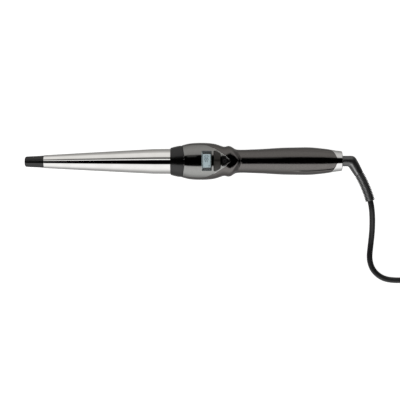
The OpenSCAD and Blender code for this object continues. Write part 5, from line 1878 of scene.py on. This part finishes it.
@dataclass
class Keys:
    """The rocker for the temperature and the power key."""

    rocker_mid_x: float = 34.9
    pin_z: float = 27.4
    switch_z: float = 26.2
    groove_depth: float = 1.7
    groove_y: float = 0.6
    groove_half_w: float = 0.5

    def groove(self, y: Points) -> Points:
        """How deep the groove that parts the rocker's two halves is at y."""
        return self.groove_depth * np.exp(-(((y - self.groove_y) / self.groove_half_w) ** 4))

    def rocker(self) -> bpy.types.Object:
        """Makes the rocker: a plate with a groove across its middle, on a lug with two feet."""
        shape = Shape()
        SkinPlate(PLAN.rocker(), [], 0.55, 2.4, 0.45, 0.2, 0.26, dish=self.groove).build(shape)
        piece = shape.piece("rocker_plate", Look.ROCKER.value)
        feet = Shape()
        x = self.rocker_mid_x
        top = float(SKIN.curves["crown"].at(x)) + AXIS_Z - 2.0
        feet.box((x - 1.3, -1.7, self.pin_z - 1.7), (x + 1.3, 1.7, top))
        for side in (-1, 1):
            y = side * 7
            feet.box((x - 1.0, y - 1.0, self.switch_z + 0.51), (x + 1.0, y + 1.0, top - 1.0))
        stand = feet.piece("rocker_stand", Look.ROCKER.value)
        keep(stand, "rocker", "key_grey")
        return keep(piece, "rocker", "key_grey", "rocker_key")

    def power(self) -> list[bpy.types.Object]:
        """Makes the power key, its stem and its printed mark."""
        shape = Shape()
        SkinPlate(PLAN.power(), [], 0.55, 2.6, 0.4, 0.2, 0.45).build(shape)
        key = keep(shape.piece("power_plate", Look.POWER.value), "power", "key_black", "power_button")
        stem = Shape()
        x = self.rocker_mid_x + 7.6
        stem.box((x - 1.0, -1.0, self.switch_z + 0.75), (x + 1.0, 1.0, 29.6))
        keep(stem.piece("power_stem", Look.POWER.value), "power", "key_black")
        mark = Shape()
        cx, r, t = 42.6, 1.45, 0.2
        arc = np.radians(np.linspace(35, 325, 41))
        sides = ((r + t, arc), (r - t, arc[::-1]))
        ring = [(cx - reach * math.cos(a), reach * math.sin(a)) for reach, way in sides for a in way]
        bar = [(cx - 2.1, -t), (cx - 0.3, -t), (cx - 0.3, t), (cx - 2.1, t)]
        for loop in (np.array(ring), rounded(bar, 0.1, 0.3)):
            SkinPlate(loop, [], 0.58, 0.1, 0.02, 0.02, 0.5).build(mark)
        printed = keep(mark.piece("power_mark", Look.MARK.value), "power", "key_black")
        return [key, printed]

    def build(self) -> list[bpy.types.Object]:
        """Makes both keys."""
        return [self.rocker(), *self.power()]


@dataclass
class TailCap:
    """The plated cap at the handle's end, lapped by the shells' tongues."""

    edge_x: float = X_SHELL_END + 0.12
    sleeve_r: float = 8.0
    bore_r: float = 6.05

    def build(self) -> bpy.types.Object:
        """Makes the cap as a ring whose front edge follows the tongues."""
        sides = 192
        angle = np.linspace(0, 2 * math.pi, sides, endpoint=False)
        end = X_CAP_END
        front = self.edge_x - tongue_back(np.sin(angle))
        rows: list[tuple[float | Points, float | Points]] = [
            (X_TAIL - 17.5, 6.8), (X_TAIL - 17.5, self.sleeve_r), (front + 0.1, self.sleeve_r),
        ]  # fmt: skip
        wide = SKIN.wide
        rows += [(front, wide(front) - 0.3), (front + 0.08, wide(front) - 0.08)]
        rows.append((front + 0.3, wide(front + 0.3)))
        for t in np.linspace(0.1, 1, 14):
            x = front + 0.3 + (end - 0.8 - front - 0.3) * t
            rows.append((x, wide(x)))
        for a in np.radians([18, 36, 54, 72, 90]):
            rows.append((end - 0.8 + 0.8 * math.sin(a), wide(end - 0.8) - 0.8 * (1 - math.cos(a))))
        bore = self.bore_r
        rows += [(end, 7.0), (end, 6.3), (end - 0.25, bore), (end - 2.2, bore), (end - 2.2, 6.8)]
        shape = Shape()
        turned(shape, rows, sides, True)
        return keep(shape.piece("plated_tail_cap", Look.CHROME.value), "root", "chrome_cap", "tail_cap")


# ---- inside, studio and camera ----

INNER: dict[Look, tuple[str, ...]] = {
    Look.STEEL: (
        "tip_screw", "barrel_clip", "spreader_clamp", "shell_screws", "board_screws", "rocker_pin",
        "swivel_spindle", "spindle_clip", "thermal_fuse",
    ),
    Look.ALUMINIUM: ("heat_spreader_upper", "heat_spreader_lower"),
    Look.BRASS: ("electrode_sheets", "contact_springs", "slip_rings"),
    Look.PHENOLIC: ("heat_bush", "contact_holder"),
    Look.CERAMIC: ("ceramic_tiles", "tip_disc"),
    Look.FILM: ("insulation_film",),
    Look.EPOXY: ("thermistor",),
    Look.SLEEVE: ("heater_leads", "mains_leads"),
    Look.WHITE: ("display_carrier",),
    Look.ACETAL: ("swivel_bush",),
    Look.BOARD: ("circuit_board",),
    Look.COMPONENT: ("board_parts", "key_switches", "rocker_carrier"),
    Look.LCD: ("display_glass",),
}  # fmt: skip


def dress_inside(nodes: dict[str, bpy.types.Object]) -> None:
    """Gives each carried-over node its finish.

    Args:
        nodes: The frame's nodes by name.
    """
    for look, names in INNER.items():
        for name in names:
            slots = nodes[name].data.materials
            slots.clear()
            slots.append(look.value.material())
            LOG.info("%s is finished as %s", name, look.value.name)


@dataclass
class Studio:
    """Soft light from all round and a plain pale floor, in metres."""

    floor_side: float = 8.0
    box_far: float = 3.0
    # The light at each angle from straight up, in degrees towards +Y.
    glow: tuple[tuple[float, float], ...] = (
        (-180, 0.3), (-150, 0.38), (-124, 0.34), (-106, 0.55), (-92, 0.78), (-84, 0.92), (-72, 1.0),
        (-60, 1.03), (-45, 1.02), (-31, 0.95), (-26, 0.0), (30, 0.0), (34, 0.08), (38, 0.5),
        (50, 0.57), (62, 0.6), (70, 0.6), (80, 0.58), (90, 0.54), (98, 0.5), (110, 0.4),
        (125, 0.3), (150, 0.28), (180, 0.26),
    )  # fmt: skip
    most: float = 1.1
    camera_roll: float = -0.115
    camera_far: float = 1.183
    view_width: float = 0.416
    view_middle: tuple[float, float] = (0.01716, -0.04018)

    def long_box(
        self,
        name: str,
        low: float,
        high: float,
        light: float,
        lit: Sequence[bpy.types.Object],
        reach: tuple[float, float] = (-0.9, 0.4),
    ) -> None:
        """Hangs a long soft box over the wand whose light only some pieces take.

        Args:
            name: The box's name.
            low: Where it starts, in degrees from straight up towards +Y.
            high: Where it ends.
            light: How bright it is.
            lit: The pieces that it lights.
            reach: Where it starts and ends along the wand, as shares of its distance.
        """
        middle, half = math.radians((low + high) / 2), math.radians(high - low) / 2
        out = Vector((0, math.sin(middle), math.cos(middle))) * self.box_far
        side = Vector((0, math.cos(middle), -math.sin(middle))) * self.box_far * math.tan(half)
        ends = [Vector((x * self.box_far, 0, 0)) for x in reach]
        corners = [out - side + ends[0], out - side + ends[1], out + side + ends[1], out + side + ends[0]]
        made = blank(name)
        glow = add(made.node_tree, "ShaderNodeEmission", {"Strength": light})
        clear = add(made.node_tree, "ShaderNodeBsdfTransparent")
        both = add(made.node_tree, "ShaderNodeAddShader", {0: glow, 1: clear})
        add(made.node_tree, "ShaderNodeOutputMaterial", {"Surface": both})
        box = flat_sheet(name, corners, made)
        takers = bpy.data.collections.new(name + "_takers")
        for piece in lit:
            takers.objects.link(piece)
        box.light_linking.receiver_collection = takers
        box.visible_camera = False

    def world(self) -> None:
        """Builds the soft boxes as the world's light, and a plain pale ground for the eye."""
        world = bpy.data.worlds.new("studio")
        world.use_nodes = True
        world.node_tree.nodes.clear()
        node = partial(add, world.node_tree)
        way = node("ShaderNodeTexCoord").outputs["Generated"]
        x, y, z = node("ShaderNodeSeparateXYZ", {0: way}).outputs
        angle = node("ShaderNodeMath", {0: y, 1: z}, operation="ARCTAN2")
        across = node("ShaderNodeMath", {0: angle, 1: 180 / math.pi}, operation="MULTIPLY")
        slant = node("ShaderNodeMath", {0: x}, operation="ARCSINE")
        along = node("ShaderNodeMath", {0: slant, 1: 180 / math.pi}, operation="MULTIPLY")
        down = node("ShaderNodeMath", {0: across}, operation="ABSOLUTE")
        share = node("ShaderNodeMath", {0: across, 1: 1 / 360, 2: 0.5}, operation="MULTIPLY_ADD")
        ramp = node("ShaderNodeValToRGB", {0: share})
        stops = ramp.color_ramp.elements
        while len(stops) < len(self.glow):
            stops.new(0.5)
        for stop, (place, light) in zip(stops, sorted(self.glow), strict=True):
            stop.position = place / 360 + 0.5
            level = light / self.most
            stop.color = (level, level, level, 1)
        # Each soft edge of the light: what it is measured on, and where it starts and ends, in degrees.
        edges = {
            "tip_end": (along, -47, -41),
            "cord_end": (along, 26, 33),
            "flank": (down, 78, 95),
            "brown_tip": (along, -34, -30),
            "brown_head": (along, -2.6, -1.8),
            "brown_low": (across, 23, 25),
            "brown_high": (across, 31, 34),
            "warm": (across, 0, 10),
        }
        rise = {}
        for name, (value, low, high) in edges.items():
            sockets = {"Value": value, "From Min": low, "From Max": high}
            rise[name] = node("ShaderNodeMapRange", sockets, interpolation_type="SMOOTHSTEP")
        fall = {
            name: node("ShaderNodeMath", {0: 1.0, 1: rise[name]}, operation="SUBTRACT")
            for name in ("cord_end", "brown_head", "brown_high")
        }
        boxes = node("ShaderNodeMath", {0: ramp, 1: self.most}, operation="MULTIPLY")
        ends = node("ShaderNodeMath", {0: rise["tip_end"], 1: fall["cord_end"]}, operation="MULTIPLY")
        kept = node("ShaderNodeMath", {0: ends, 1: 0.97, 2: 0.03}, operation="MULTIPLY_ADD")
        flank = node("ShaderNodeMath", {0: rise["flank"], 1: 0.8}, operation="MULTIPLY")
        dim = node("ShaderNodeMath", {0: kept, 1: flank}, operation="MAXIMUM")
        part = node("ShaderNodeMath", {0: fall["brown_head"], 1: rise["brown_tip"]}, operation="MULTIPLY")
        brown = node("ShaderNodeMath", {0: rise["brown_low"], 1: fall["brown_high"]}, operation="MULTIPLY")
        patch = node("ShaderNodeMath", {0: brown, 1: part}, operation="MULTIPLY")
        dimmed = node("ShaderNodeMath", {0: boxes, 1: dim}, operation="MULTIPLY")
        light = node("ShaderNodeMath", {0: patch, 1: 0.09, 2: dimmed}, operation="MULTIPLY_ADD")
        tones = {0: rise["warm"], 6: (1, 1, 1, 1), 7: (1, 0.985, 0.965, 1)}
        colour = node("ShaderNodeMix", tones, data_type="RGBA").outputs[2]
        lit = node("ShaderNodeBackground", {"Color": colour, "Strength": light})
        plain = node("ShaderNodeBackground", {"Color": (0.95, 0.95, 0.95, 1), "Strength": 1.0})
        eye = node("ShaderNodeLightPath").outputs["Is Camera Ray"]
        node("ShaderNodeOutputWorld", {"Surface": node("ShaderNodeMixShader", {0: eye, 1: lit, 2: plain})})
        bpy.context.scene.world = world

    def floor(self) -> None:
        """Lays the floor, which glows enough to stay white under the wand."""
        half = self.floor_side / 2
        made = blank("studio_paper")
        node = partial(add, made.node_tree)
        fibre = node("ShaderNodeTexNoise", {"Scale": 900.0, "Detail": 2.0}).outputs["Fac"]
        matt = node("ShaderNodeBsdfDiffuse", {"Color": (0.8, 0.8, 0.8, 1)})
        tone = node("ShaderNodeMapRange", {"Value": fibre, "To Min": 0.93, "To Max": 0.95})
        glow = node("ShaderNodeEmission", {"Color": (1, 1, 1, 1), "Strength": tone})
        node("ShaderNodeOutputMaterial", {"Surface": node("ShaderNodeAddShader", {0: matt, 1: glow})})
        corners = [(-half, -half, 0), (half, -half, 0), (half, half, 0), (-half, half, 0)]
        floor = flat_sheet("studio_floor", corners, made)
        floor.visible_glossy = False

    def camera(self) -> None:
        """Sets the camera straight above the wand, its top towards +Y."""
        lens = bpy.data.cameras.new("view_camera")
        lens.sensor_width = 36.0
        lens.lens = lens.sensor_width * self.camera_far / self.view_width
        camera = bpy.data.objects.new("view_camera", lens)
        camera.location = (*self.view_middle, AXIS_Z * MM + self.camera_far)
        camera.rotation_euler = (0.0, 0.0, math.radians(self.camera_roll))
        bpy.context.collection.objects.link(camera)
        bpy.context.scene.camera = camera

    def build(self) -> None:
        """Sets up the light, the floor and the camera."""
        bpy.context.scene.view_settings.view_transform = "Standard"
        self.world()
        self.floor()
        self.camera()


def main() -> None:
    """Builds the wand's looks in order."""
    logging.basicConfig(level=logging.INFO, format="%(message)s")
    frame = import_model()
    studio = Studio()
    studio.build()
    boot = CordBoot().build()
    tie = CoilTie().build()
    plug = Plug().build()
    PowerCord().build([*boot, "swivel_spindle", tie, *plug])
    tube, tip = Barrel().build(), CoolTip().build()
    studio.long_box("narrow_box", 12, 21, 1.0, [tube, tip])
    studio.long_box("wide_box", 40, 88, 0.24, [tube])
    studio.long_box("boot_box", -48, -10, 2.2, boot, (-1.5, -0.25))
    FrontCollar().build()
    Shells().build()
    FacePanel().build()
    Display().build()
    Keys().build()
    TailCap().build()
    dress_inside(frame["nodes"])


if __name__ == "__main__":
    main()
